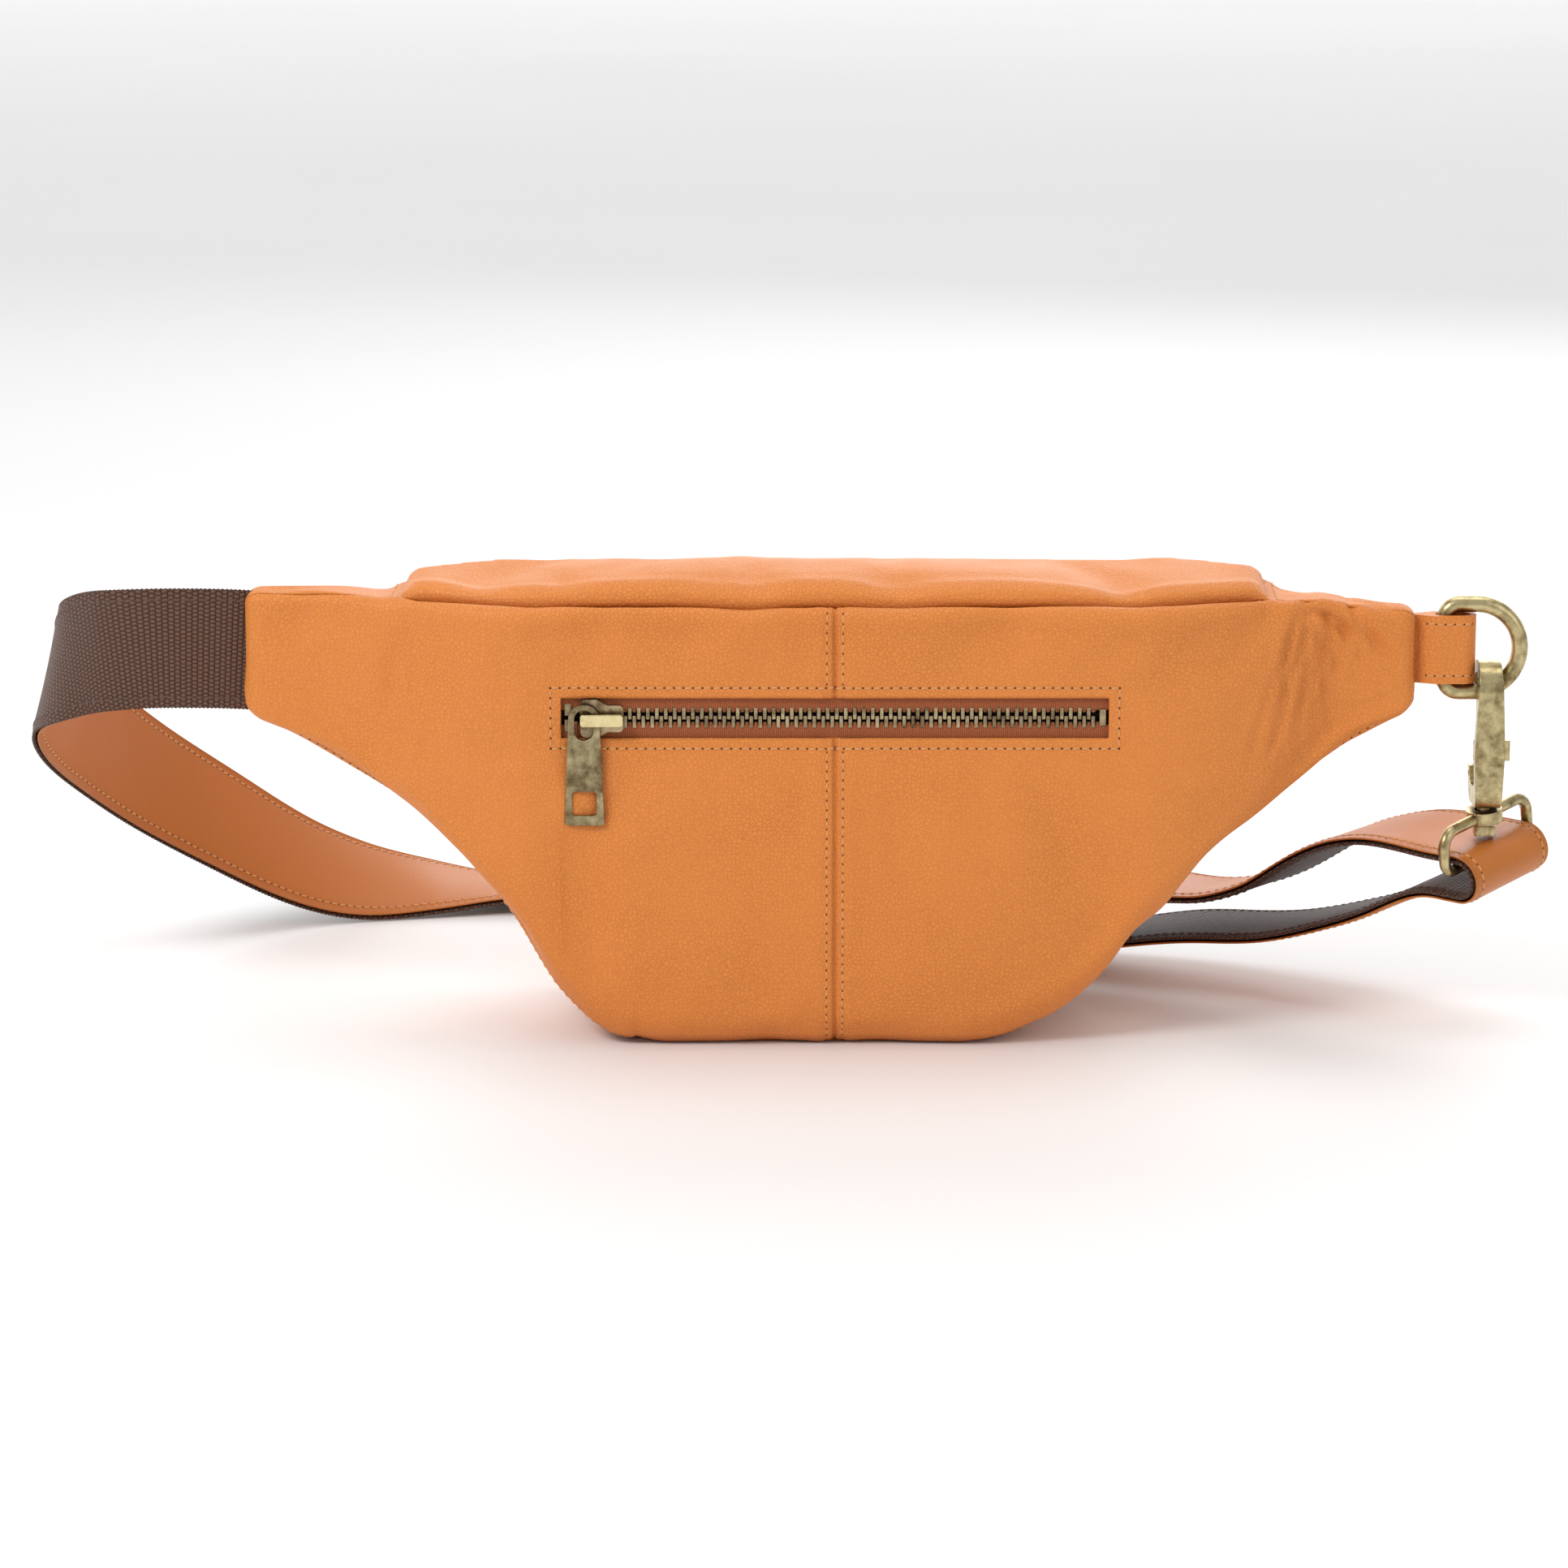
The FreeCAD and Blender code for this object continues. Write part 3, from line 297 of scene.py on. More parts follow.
def threadMaterial(name, color, deep):
    material, tree, shader = startMaterial(name)
    place = objectPlace(tree)
    twist = addNode(tree, "TexWave", {"Vector": place, "Scale": 900.0, "Distortion": 1.2},
                    bands_direction="DIAGONAL").outputs["Fac"]
    soil = noiseAt(tree, place, 70.0, 3.0)
    strand = times(tree, calc(tree, "ADD", twist, soil), 0.5)
    tree.links.new(mixColor(tree, strand, deep, color), shader.inputs["Base Color"])
    shader.inputs["Roughness"].default_value = 0.62
    shader.inputs["Sheen Weight"].default_value = 0.25
    tree.links.new(bump(tree, twist, 0.06 * mm, 0.8), shader.inputs["Normal"])
    return material


pouchLeather = leatherMaterial(
    "pebbledLeather", leather["pouchColor"], leather["pouchDeep"], leather["pouchLight"],
    leather["pebbleSize"], leather["creaseDepth"], 0.46, 0.75)
# the strap leather is a darker copy of the pouch leather: painted shade
strapLeather = leatherMaterial(
    "strapLeather", leather["strapColor"], leather["strapDeep"], leather["strapLight"],
    0.9 * mm, 0.05 * mm, 0.42, 0.35)

# in each weave, dark is painted shade in the hollows and light is a painted highlight on the floats
weaves = {  # dark, light, pitch along, pitch across, depth, roughness, sheen
    "beltWebbing": ((0.012, 0.005, 0.003), (0.215, 0.098, 0.060), 1.65 * mm, 1.25 * mm, 0.42 * mm, 0.5, 0.03),
    "zipTapeCloth": ((0.15, 0.03, 0.008), (0.52, 0.15, 0.045), 0.62 * mm, 0.55 * mm, 0.12 * mm, 0.7, 0.2),
    "liningCloth": ((0.035, 0.022, 0.014), (0.11, 0.075, 0.05), 0.7 * mm, 0.7 * mm, 0.1 * mm, 0.8, 0.1),
    "zipCordCloth": ((0.22, 0.055, 0.014), (0.62, 0.22, 0.07), 0.45 * mm, 0.4 * mm, 0.08 * mm, 0.75, 0.25),
}
metals = {  # bright, patina, roughness, brushing, wear, easing of the edges
    "antiqueBrass": ((0.72, 0.61, 0.33), (0.19, 0.125, 0.05), 0.27, (2600, 2600, 110), (0.33, 0.56), 0.5),
    "zipBrass": ((0.62, 0.49, 0.29), (0.13, 0.08, 0.04), 0.3, (1500, 1500, 1500), (0.36, 0.58), 0.3),
    "pullBrass": ((0.58, 0.49, 0.28), (0.15, 0.105, 0.05), 0.34, (2200, 2200, 120), (0.37, 0.62), 0.35),
    "goldBrass": ((0.93, 0.80, 0.44), (0.45, 0.32, 0.12), 0.24, (900, 900, 900), (0.25, 0.5), 0.5),
    "springWire": ((0.55, 0.55, 0.53), (0.2, 0.2, 0.2), 0.3, (900, 900, 900), (0.3, 0.5), 0.0),
}
cloths = {name: weaveMaterial(name, *values) for name, values in weaves.items()}
metalFinishes = {name: metalMaterial(name, *values) for name, values in metals.items()}
seamThread = threadMaterial("seamThread", (0.86, 0.42, 0.13), (0.60, 0.24, 0.06))
darkThread = threadMaterial("darkThread", (0.16, 0.085, 0.055), (0.05, 0.025, 0.018))
holeShade = threadMaterial("needleHole", (0.10, 0.028, 0.008), (0.05, 0.012, 0.004))
print("materials made")


# ---- the pouch's form ----
pouch = {
    "stations": [(0.0, 0.0, 0.0), (0.28, 0.0, 0.0), (0.34, 0.02, 0.0), (0.4, 0.085, 0.0), (0.465, 0.2, 0.0),
                 (0.515, 0.3, 0.0), (0.56, 0.385, 0.06), (0.635, 0.54, 0.28), (0.715, 0.685, 0.55),
                 (0.8, 0.81, 0.79), (0.895, 0.92, 0.95), (1.0, 1.0, 1.0)],  # share, lift, taper
    "fuller": [(0.34, -0.008), (0.376, -0.024), (0.42, -0.03), (0.471, -0.036), (0.515, -0.02), (0.56, 0.0)],
    "leaner": [(0.22, 0.0), (0.26, 0.01), (0.3, 0.03), (0.345, 0.045), (0.4, 0.042), (0.455, 0.038),
               (0.506, 0.036), (0.58, 0.02), (0.7, 0.0)],
    "rightDrop": 5.0 * mm, "rightShort": 2.2 * mm,
    "panelTop": 131.5 * mm, "crestTop": 135.5 * mm, "crestY": 14 * mm, "shoulderZ": 118 * mm,
    "wingHeight": 37 * mm, "wingThickness": 14 * mm, "wingMidY": -6 * mm, "baseSink": 0.6 * mm,
    "bottomRound": 12 * mm, "topRound": 8 * mm, "rearRound": 6 * mm, "wingRound": 4 * mm,
    "endRound": 5 * mm, "humpStart": 120.5 * mm, "humpEnd": 131 * mm, "wall": 1.3 * mm,
    "step": 1.15 * mm, "arcSteps": 14,
}
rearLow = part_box("rear_panel_left")[0]
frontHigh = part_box("front_panel")[1]
halfLength = -rearLow.x
rearY, frontY = rearLow.y, frontHigh.y
zipMiddleZ = joints["rear_pull_swing"]["pos_m"][2]
windowHalf, windowRise = 78.5 * mm, 5.85 * mm


def smoothTable(xs, ys, x):
    # a monotone cubic through the table, so the outline has no ripples
    xs, ys, x = np.asarray(xs), np.asarray(ys), np.asarray(x, float)
    gaps, rises = np.diff(xs), np.diff(ys)
    slopes = rises / gaps
    tangents = np.zeros(len(xs))
    for i in range(1, len(xs) - 1):
        if slopes[i - 1] * slopes[i] > 0:
            tangents[i] = 2 * slopes[i - 1] * slopes[i] / (slopes[i - 1] + slopes[i])
    tangents[-1] = slopes[-1]
    k = np.clip(np.searchsorted(xs, x, side="right") - 1, 0, len(xs) - 2)
    t = (x - xs[k]) / gaps[k]
    return (ys[k] * (1 + 2 * t) * (1 - t) ** 2 + gaps[k] * tangents[k] * t * (1 - t) ** 2
            + ys[k + 1] * t * t * (3 - 2 * t) + gaps[k] * tangents[k + 1] * t * t * (t - 1))


def smoothStep(a, b, x):
    t = np.clip((x - a) / (b - a), 0, 1)
    return t * t * (3 - 2 * t)


def sectionCorners(x):
    p = pouch
    share = min(abs(x) / halfLength, 1.0)
    table = list(zip(*p["stations"]))
    lift, taper = float(smoothTable(table[0], table[1], share)), float(smoothTable(table[0], table[2], share))
    lift += float(np.interp(share, *zip(*(p["leaner"] if x > 0 else p["fuller"])), left=0, right=0))
    drop = p["rightDrop"] * float(smoothStep(118 * mm, 168 * mm, x))
    hump = 1 - float(smoothStep(p["humpStart"], p["humpEnd"], abs(x)))

    def mix(a, b):
        return a + (b - a) * taper

    near = mix(rearY, p["wingMidY"] - p["wingThickness"] / 2)
    far = mix(frontY, p["wingMidY"] + p["wingThickness"] / 2)
    low = -p["baseSink"] + (p["panelTop"] - p["wingHeight"] + p["baseSink"]) * lift
    crestTop = p["panelTop"] + (p["crestTop"] + 0.8 * mm - p["panelTop"]) * hump
    bottom = mix(p["bottomRound"], p["wingRound"])
    top = mix(p["topRound"], p["wingRound"])
    return [(near, low + drop * 0.1, bottom), (far, low + drop * 0.1, bottom),
            (far, mix(p["shoulderZ"], p["panelTop"] - p["wingHeight"] / 4) - drop, top),
            (mix(p["crestY"], p["wingMidY"] + p["wingThickness"] / 5), crestTop - drop, top),
            (near, mix(p["panelTop"], p["panelTop"] - 1 * mm) - drop, mix(p["rearRound"], p["wingRound"]))]


def insetCorners(corners, distance):
    moved = []
    for i, (y, z, radius) in enumerate(corners):
        before, after = corners[i - 1], corners[(i + 1) % len(corners)]
        a = np.array([y - before[0], z - before[1]])
        b = np.array([after[0] - y, after[1] - z])
        a, b = unit(a), unit(b)
        normalA, normalB = np.array([-a[1], a[0]]), np.array([-b[1], b[0]])
        shift = (normalA + normalB) * distance / (1 + normalA @ normalB)
        moved.append((y + shift[0], z + shift[1], max(radius - distance, 0.4 * mm)))
    return moved


def roundedLoop(corners):
    # rounded corners as short arcs
    points = []
    for i, (y, z, radius) in enumerate(corners):
        corner = np.array([y, z])
        back = np.array(corners[i - 1][:2]) - corner
        ahead = np.array(corners[(i + 1) % len(corners)][:2]) - corner
        back, ahead = unit(back), unit(ahead)
        half = math.acos(np.clip(back @ ahead, -1, 1)) / 2
        inward = (back + ahead) / np.linalg.norm(back + ahead)
        centre = corner + inward * radius / math.sin(half)
        start, end = corner + back * radius / math.tan(half), corner + ahead * radius / math.tan(half)
        a, b = start - centre, end - centre
        angle = math.acos(np.clip(a @ b / radius ** 2, -1, 1))
        for k in range(pouch["arcSteps"] + 1):
            t = k / pouch["arcSteps"]
            points.append(centre + (a * math.sin((1 - t) * angle) + b * math.sin(t * angle)) / math.sin(angle))
    return np.array(points)


def ringMarks(points, x):
    # ring lengths of the seams and of the zip window's edges, in order round the section
    loop = np.vstack([points, points[:1]])
    lengths = np.concatenate([[0], np.cumsum(np.linalg.norm(np.diff(loop, axis=0), axis=1))])
    steps = pouch["arcSteps"]

    def onArc(arc, share):
        at = arc * (steps + 1) + share * steps
        return float(np.interp(at, np.arange(len(lengths)), lengths))

    side = float(smoothStep(84 * mm, 135 * mm, abs(x)))
    top, bottom = points[5 * (steps + 1) - 1], points[0]
    levels = []
    for height, share in ((zipMiddleZ + windowRise, 0.3), (zipMiddleZ - windowRise, 0.7)):
        wing = top[1] + (bottom[1] - top[1]) * share
        z = height + (wing - height) * side
        levels.append(onArc(4, 1) + (top[1] - z))
    seams = [onArc(0, 0.8), onArc(1, 0.5), onArc(2, 0.5), onArc(3, 0.5), onArc(4, 0.3)]
    return seams + levels + [seams[0] + lengths[-1]], lengths, loop


spans = {"bottom": 44, "front": 92, "slope": 26, "top": 40, "aboveZip": 28, "window": 11, "belowZip": 84}
starts = dict(zip(spans, np.concatenate([[0], np.cumsum(list(spans.values()))[:-1]])))
ringCount = sum(spans.values())


def sectionRing(x, distance=0.0, counts=None):
    counts = counts or list(spans.values())
    points = roundedLoop(insetCorners(sectionCorners(x), distance))
    marks, lengths, loop = ringMarks(points, x)
    places = np.concatenate([np.linspace(a, b, n, endpoint=False)
                             for a, b, n in zip(marks[:-1], marks[1:], counts)])
    places = np.mod(places, lengths[-1])
    return np.stack([np.full(len(places), x), np.interp(places, lengths, loop[:, 0]),
                     np.interp(places, lengths, loop[:, 1])], axis=1)


def stationPlaces():
    extra = [sign * value * mm for value in (0, 0.35, 0.8, 1.4, 2.2) for sign in (-1, 1)]
    extra += [sign * (windowHalf + value * mm) for value in (0, -0.5, 0.5) for sign in (-1, 1)]
    end = [sign * (halfLength - pouch["endRound"] * (1 - math.cos(a))) for a in np.linspace(0, 1.3, 7)
           for sign in (-1, 1)]
    regular = np.linspace(-halfLength, halfLength, int(2 * halfLength / pouch["step"]))
    fixed = np.array(sorted(set(np.round(extra + end, 7))))
    kept = [x for x in regular if np.min(np.abs(fixed - x)) > 0.45 * mm]
    return np.array(sorted(kept + list(fixed)))


def pouchGrid(places, distance=0.0, counts=None):
    rings = []
    for x in places:
        into = max(0.0, abs(x) - (halfLength - pouch["endRound"])) / pouch["endRound"]
        tuck = pouch["endRound"] * 0.8 * (1 - math.sqrt(max(0.0, 1 - into * into)))
        rings.append(sectionRing(x, distance + tuck, counts))
    grid = np.array(rings)
    grid[:, :, 0] -= pouch["rightShort"] * smoothStep(120 * mm, halfLength, grid[:, :, 0])
    grid[:, :, 2] = np.maximum(grid[:, :, 2], distance)
    return grid


def gridNormals(grid):
    along = np.gradient(grid, axis=0)
    wrapped = np.concatenate([grid[:, -1:], grid, grid[:, :1]], axis=1)
    around = (wrapped[:, 2:] - wrapped[:, :-2]) / 2
    normals = np.cross(around, along)
    return normals / np.maximum(np.linalg.norm(normals, axis=2, keepdims=True), 1e-12)


# ---- the skin settles: leather swells over its filling and creases where it is loose ----
coarseCounts = [9, 17, 6, 8, 6, 3, 16]  # the spans of a ring in a coarse mesh
settle = {
    "xCount": 66, "frames": 20, "most": 3.2 * mm, "heldZone": 13 * mm, "heldEnd": 9 * mm,
    "cloth": {"quality": 5, "mass": 0.35, "tension_stiffness": 22, "compression_stiffness": 22,
              "shear_stiffness": 12, "bending_stiffness": 1.2, "use_pressure": True,
              "uniform_pressure_force": 3.2, "shrink_min": -0.018, "vertex_group_mass": "held"},
}


def settledShift(places):
    coarse = np.linspace(-halfLength, halfLength, settle["xCount"])
    base = pouchGrid(coarse, 0.0, coarseCounts)
    rows, columns = base.shape[:2]
    verts = base.reshape(-1, 3)
    faces = gridFaces(rows, columns, closed=True)
    faces += [list(range(columns))[::-1], [(rows - 1) * columns + j for j in range(columns)]]
    skin = addMesh("skinStudy", verts, faces)
    held = skin.vertex_groups.new(name="held")
    rear = np.abs(verts[:, 1] - rearY) < 3 * mm
    zipPart = np.abs(verts[:, 0]) < windowHalf + settle["heldZone"]
    nearZip = rear & zipPart & (np.abs(verts[:, 2] - zipMiddleZ) < settle["heldZone"])
    slope = zipPart & (verts[:, 1] > 8 * mm) & (verts[:, 2] > 115 * mm)
    still = nearZip | slope | (verts[:, 2] < 1.5 * mm) | (np.abs(verts[:, 0]) > halfLength - settle["heldEnd"])
    held.add([int(i) for i in np.nonzero(still)[0]], 1.0, "REPLACE")
    cloth = skin.modifiers.new("Cloth", "CLOTH")
    for setting, value in settle["cloth"].items():
        setattr(cloth.settings, setting, value)
    cloth.settings.effector_weights.gravity = 0
    for step in range(1, settle["frames"] + 1):
        bpy.context.scene.frame_set(step)
    seen = skin.evaluated_get(bpy.context.evaluated_depsgraph_get()).to_mesh()
    moved = np.array([v.co for v in seen.vertices]).reshape(base.shape)
    bpy.data.objects.remove(skin)
    bpy.context.scene.frame_set(1)
    normals = gridNormals(base)
    push = np.clip(((moved - base) * normals).sum(axis=2), -settle["most"], settle["most"])
    # carry the coarse push onto the fine rings: first along the pouch, then round each span
    along = np.array([np.interp(places, coarse, push[:, j]) for j in range(columns)]).T
    fine = []
    for row in along:
        closedRow = np.append(row, row[0])
        at, column = [], 0
        for count, coarseCount in zip(spans.values(), coarseCounts):
            at.append(column + np.arange(count) / count * coarseCount)
            column += coarseCount
        fine.append(np.interp(np.concatenate(at), np.arange(columns + 1), closedRow))
    fine = np.array(fine)
    for _ in range(3):  # soften the coarse facets
        fine = (fine + np.roll(fine, 1, 1) + np.roll(fine, -1, 1) + np.roll(fine, 2, 1)
                + np.roll(fine, -2, 1)) / 5
        fine[2:-2] = (fine[2:-2] + fine[1:-3] + fine[3:-1] + fine[:-4] + fine[4:]) / 5
    return fine


# ---- creases ----
creaseFans = [
    # start and end of the first and last crease as x, z in mm; the rest lie between them
    {"first": ((134, 131), (121, 84)), "last": ((149, 131), (163, 104)),
     "count": 13, "width": 1.5, "depth": 0.75},
    {"first": ((131, 127), (112, 70)), "last": ((141, 118), (141, 84)),
     "count": 9, "width": 1.1, "depth": 0.45},
    {"first": ((139, 131), (152, 124)), "last": ((137, 129), (150, 117)),
     "count": 3, "width": 1.8, "depth": 1.1},
    {"first": ((-126, 128), (-133, 86)), "last": ((-112, 126), (-108, 62)),
     "count": 7, "width": 2.2, "depth": 0.3},
]


def creaseShift(grid):
    x, z = grid[:, :, 0] / mm, grid[:, :, 2] / mm
    total = np.zeros(x.shape)
    random = np.random.default_rng(7)
    for fan in creaseFans:
        for k in range(fan["count"]):
            t = k / max(fan["count"] - 1, 1)
            start, end = np.array(fan["first"]) * (1 - t) + np.array(fan["last"]) * t
            start = start + random.uniform(-1.5, 1.5, 2)
            end = end + random.uniform(-4, 4, 2)
            begin, finish = random.uniform(0, 0.35), random.uniform(0.6, 1.0)
            line = end - start
            length = np.linalg.norm(line)
            line = line / length
            dx, dz = x - start[0], z - start[1]
            along = (dx * line[0] + dz * line[1]) / length
            wave = random.uniform(0.8, 2.0) * np.sin(along * random.uniform(4, 8) + random.uniform(0, 6))
            away = dx * -line[1] + dz * line[0] + wave
            fade = smoothStep(begin - 0.1, begin + 0.12, along)
            fade = fade * (1 - smoothStep(finish - 0.2, finish + 0.05, along))
            depth = fan["depth"] * random.uniform(0.5, 1.15)
            width = fan["width"] * random.uniform(0.7, 1.2)
            valley = swell(away, -1, 0, width)
            lip = swell(np.abs(away), 0.4, 2.3 * width, 1.3 * width)
            total += depth * fade * (valley + lip)
    return total * mm


relief = {  # each groove or swell as height, distance from its seam and width, in mm
    "bottom": (-0.8, 0, 1.0), "front": (-0.7, 0, 1.0), "slope": (-0.7, 0, 1.0), "seamLip": (0.35, 4, 2.5),
    "deepFold": (-3.8, 0, 1.5), "rearFoldLip": (0.9, 6, 3.6), "topFoldLip": (1.5, 6, 3.6), "topPadding": 1.4,
    "topEnd": (-1.0, 0, 1.0), "topEndX": 126 * mm,
    "centreGroove": (-0.95, 0, 0.65), "centreLip": (0.4, 4.5, 3.0), "centreStitches": (-0.25, 2.2, 0.5),
    "waves": 0.75, "topWaves": 0.3,
}


def buildPouch():
    places = stationPlaces()
    base = pouchGrid(places)
    shift = settledShift(places)
    normals = gridNormals(base)
    x, z = base[:, :, 0], base[:, :, 2]
    index = np.arange(ringCount)
    loop = np.concatenate([base, base[:, :1]], axis=1)
    lengths = np.concatenate([np.zeros((len(places), 1)),
                              np.cumsum(np.linalg.norm(np.diff(loop, axis=1), axis=2), axis=1)], axis=1)
    around = lengths[:, -1:]

    def fromSeam(name):
        gap = np.abs(lengths[:, :-1] - lengths[:, starts[name]][:, None])
        return np.minimum(gap, around - gap)

    rear = index[None, :] >= starts["aboveZip"]
    rearMask = np.broadcast_to(rear, x.shape)
    inTop = (index >= starts["slope"]) & (index < starts["aboveZip"])
    pouchPart = 1 - smoothStep(118 * mm, 127 * mm, np.abs(x))
    # stitched seams
    for name in ("bottom", "front", "slope"):
        gap = fromSeam(name) / mm
        groove = swell(gap, *relief[name]) + swell(gap, *relief["seamLip"])
        shift += (pouchPart if name == "slope" else 1.0) * groove * mm
    # the deep fold between the rear panel and the padded top
    gap = fromSeam("aboveZip") / mm
    shift += swell(gap, *relief["deepFold"]) * pouchPart * mm
    lip = np.where(rearMask, swell(gap, *relief["rearFoldLip"]), swell(gap, *relief["topFoldLip"]))
    shift += lip * pouchPart * mm
    shift += np.where(inTop, relief["topPadding"], 0.0)[None, :] * smoothStep(3, 14, gap) * pouchPart * mm * (
        fromSeam("top") > 6 * mm)
    # the top panel's slanting ends
    ends = np.abs(np.abs(x) - relief["topEndX"]) / mm
    shift += np.where(inTop, swell(ends, *relief["topEnd"]), 0.0) * mm
    # the centre seam of the rear panel
    middle = np.abs(x) / mm
    groove = swell(middle, *relief["centreGroove"]) + swell(middle, *relief["centreLip"])
    groove += swell(middle, *relief["centreStitches"])
    shift += np.where(rearMask, groove, 0) * mm
    # soft waves and creases
    beside, above = np.abs(x) - windowHalf, np.abs(z - zipMiddleZ) - windowRise
    calm = np.clip(np.hypot(np.maximum(beside, 0), np.maximum(above, 0)) / (16 * mm), 0, 1)
    calm = np.where(rearMask, calm, 1.0)
    waves = np.array([[noise.noise(Vector(p) * 26) + 0.5 * noise.noise(Vector(p) * 55 + Vector((3, 1, 7)))
                       for p in row] for row in base[::3, ::3]])
    waves = np.repeat(np.repeat(waves, 3, axis=0), 3, axis=1)[:len(places), :ringCount]
    for _ in range(3):
        waves[1:-1] = (waves[:-2] + waves[1:-1] + waves[2:]) / 3
        waves = (np.roll(waves, 1, 1) + waves + np.roll(waves, -1, 1)) / 3
    floorPart = smoothStep(0.5 * mm, 6 * mm, z) * (0.15 + 0.85 * smoothStep(3 * mm, 16 * mm, np.where(
        pouchPart > 0.5, fromSeam("aboveZip"), 16 * mm)))
    shift += waves * np.where(inTop, relief["topWaves"], relief["waves"])[None, :] * mm * calm * floorPart
    shift += creaseShift(base) * calm * np.where(rearMask | (index[None, :] < starts["front"]), 1.0, 0.35)
    shift = shift * np.where(z < 0.4 * mm, 0, 1)
    grid = base + normals * shift[:, :, None]
    grid[:, :, 2] = np.maximum(grid[:, :, 2], 0)
    return places, grid


places, skinGrid = buildPouch()
skinNormals = gridNormals(skinGrid)
print("pouch form", skinGrid.shape)


def panelObject(name, first, last, cutWindow=False):
    # one leather panel: the rings between two seams, with the zip window left out
    columns = [j % ringCount for j in range(first, last + 1)]
    part = skinGrid[:, columns]
    rows, count = part.shape[:2]
    faces = gridFaces(rows, count)
    if cutWindow:
        low = (starts["window"] - first, starts["belowZip"] - first)
        kept = []
        for face in faces:
            row, column = divmod(face[0], count)
            inside = abs((places[row] + places[row + 1]) / 2) < windowHalf
            if not (inside and low[0] <= column < low[1]):
                kept.append(face)
        faces = kept
    panel = addMesh(name, part.reshape(-1, 3), faces)
    thicken(panel, pouch["wall"])
    panel.data.materials.append(pouchLeather)
    return panel


rearPanel = panelObject("rearPanel", starts["aboveZip"], ringCount, cutWindow=True)
topPanel = panelObject("topPanel", starts["slope"], starts["aboveZip"])
frontPanel = panelObject("frontPanel", starts["front"], starts["slope"])
gussetPanel = panelObject("gussetPanel", starts["bottom"], starts["front"])


def wingEnd(name, row, flip):
    # the turned-in end of a wing
    ring = skinGrid[row]
    middle = ring.mean(axis=0)
    verts = [p for share in (1.0, 0.75, 0.4) for p in middle + (ring - middle) * share] + [middle]
    faces = gridFaces(3, ringCount, closed=True)
    last = 2 * ringCount
    faces += [(last + j, last + (j + 1) % ringCount, 3 * ringCount) for j in range(ringCount)]
    if flip:
        faces = [face[::-1] for face in faces]
    end = addMesh(name, verts, faces)
    end.data.materials.append(pouchLeather)
    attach(end, "pack")


for name, row, flip in (("wingEndLeft", 0, True), ("wingEndRight", len(places) - 1, False)):
    wingEnd(name, row, flip)
for piece, covered in ((rearPanel, ("rear_panel_left", "rear_panel_right")), (topPanel, ("top_panel",)),
                       (frontPanel, ("front_panel",)), (gussetPanel, ("gusset",))):
    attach(piece, "pack")
    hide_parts(*covered)
print("panels made")

skinTree = BVHTree.FromPolygons([Vector(p) for p in skinGrid.reshape(-1, 3)],
                                gridFaces(len(places), ringCount, closed=True))


def onRear(x, z):
    spot, normal, _, _ = skinTree.ray_cast(Vector((x, -0.3, z)), Vector((0, 1, 0)))
    return spot, (normal if normal.y < 0 else -normal)


# ---- stitches ----
stitch = {"pitch": 2.7 * mm, "length": 2.35 * mm, "thick": 0.33 * mm, "sunk": 0.06 * mm,
          "rings": 7, "sides": 7, "holeSides": 8,
          "holeShare": 1.05, "holeMiddle": 0.07 * mm, "holeRim": 0.02 * mm}


def stitchTemplate():
    # a short thread whose two ends dive into the needle holes
    points = []
    for i in range(stitch["rings"]):
        t = i / (stitch["rings"] - 1)
        fat = 0.25 + 0.75 * math.sin(math.pi * t) ** 0.5 if 0 < t < 1 else 0.2
        sink = -1.6 * (2 * t - 1) ** 4
        for j in range(stitch["sides"]):
            a = 2 * math.pi * j / stitch["sides"]
            points.append((t - 0.5, math.cos(a) * fat, math.sin(a) * fat + sink))
    faces = gridFaces(stitch["rings"], stitch["sides"], closed=True)
    return np.array(points), faces


def rideOnPack(piece):
    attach(piece, "pack")


def sewRow(name, spots, normals, material=seamThread, radius=stitch["thick"], mover=rideOnPack):
    # one row of stitches along a line of surface points
    template, faces = stitchTemplate()
    spots = np.array([tuple(s) for s in spots])
    normals = np.array([tuple(n) for n in normals])
    gaps = np.linalg.norm(np.diff(spots, axis=0), axis=1)
    lengths = np.concatenate([[0], np.cumsum(gaps)])
    count = max(1, int(lengths[-1] / stitch["pitch"]))
    verts, allFaces = [], []
    random = np.random.default_rng(len(name))
    for k in range(count):
        at = (k + 0.5) * lengths[-1] / count
        spot = pointAt(at, lengths, spots)
        before, after = (pointAt(at + step * mm, lengths, spots) for step in (-0.4, 0.4))
        up = pointAt(at, lengths, normals)
        up = unit(up)
        ahead = after - before
        ahead = ahead - up * (ahead @ up)
        ahead = unit(ahead)
        side = np.cross(up, ahead)
        lean = random.normal(0, 0.05) + 0.07
        ahead, side = ahead + side * lean, side - ahead * lean
        size = stitch["length"] * random.uniform(0.93, 1.05)
        place = spot - up * stitch["sunk"] + side * random.normal(0, 0.04 * mm)
        for a, b, c in template:
            verts.append(place + ahead * a * size + side * b * radius + up * c * radius)
        allFaces += [tuple(v + k * len(template) for v in face) for face in faces]
    row = addMesh(name, verts, allFaces)
    row.data.materials.append(material)
    mover(row)
    mover(needleHoles(name + "Holes", spots, normals, lengths, count, radius))


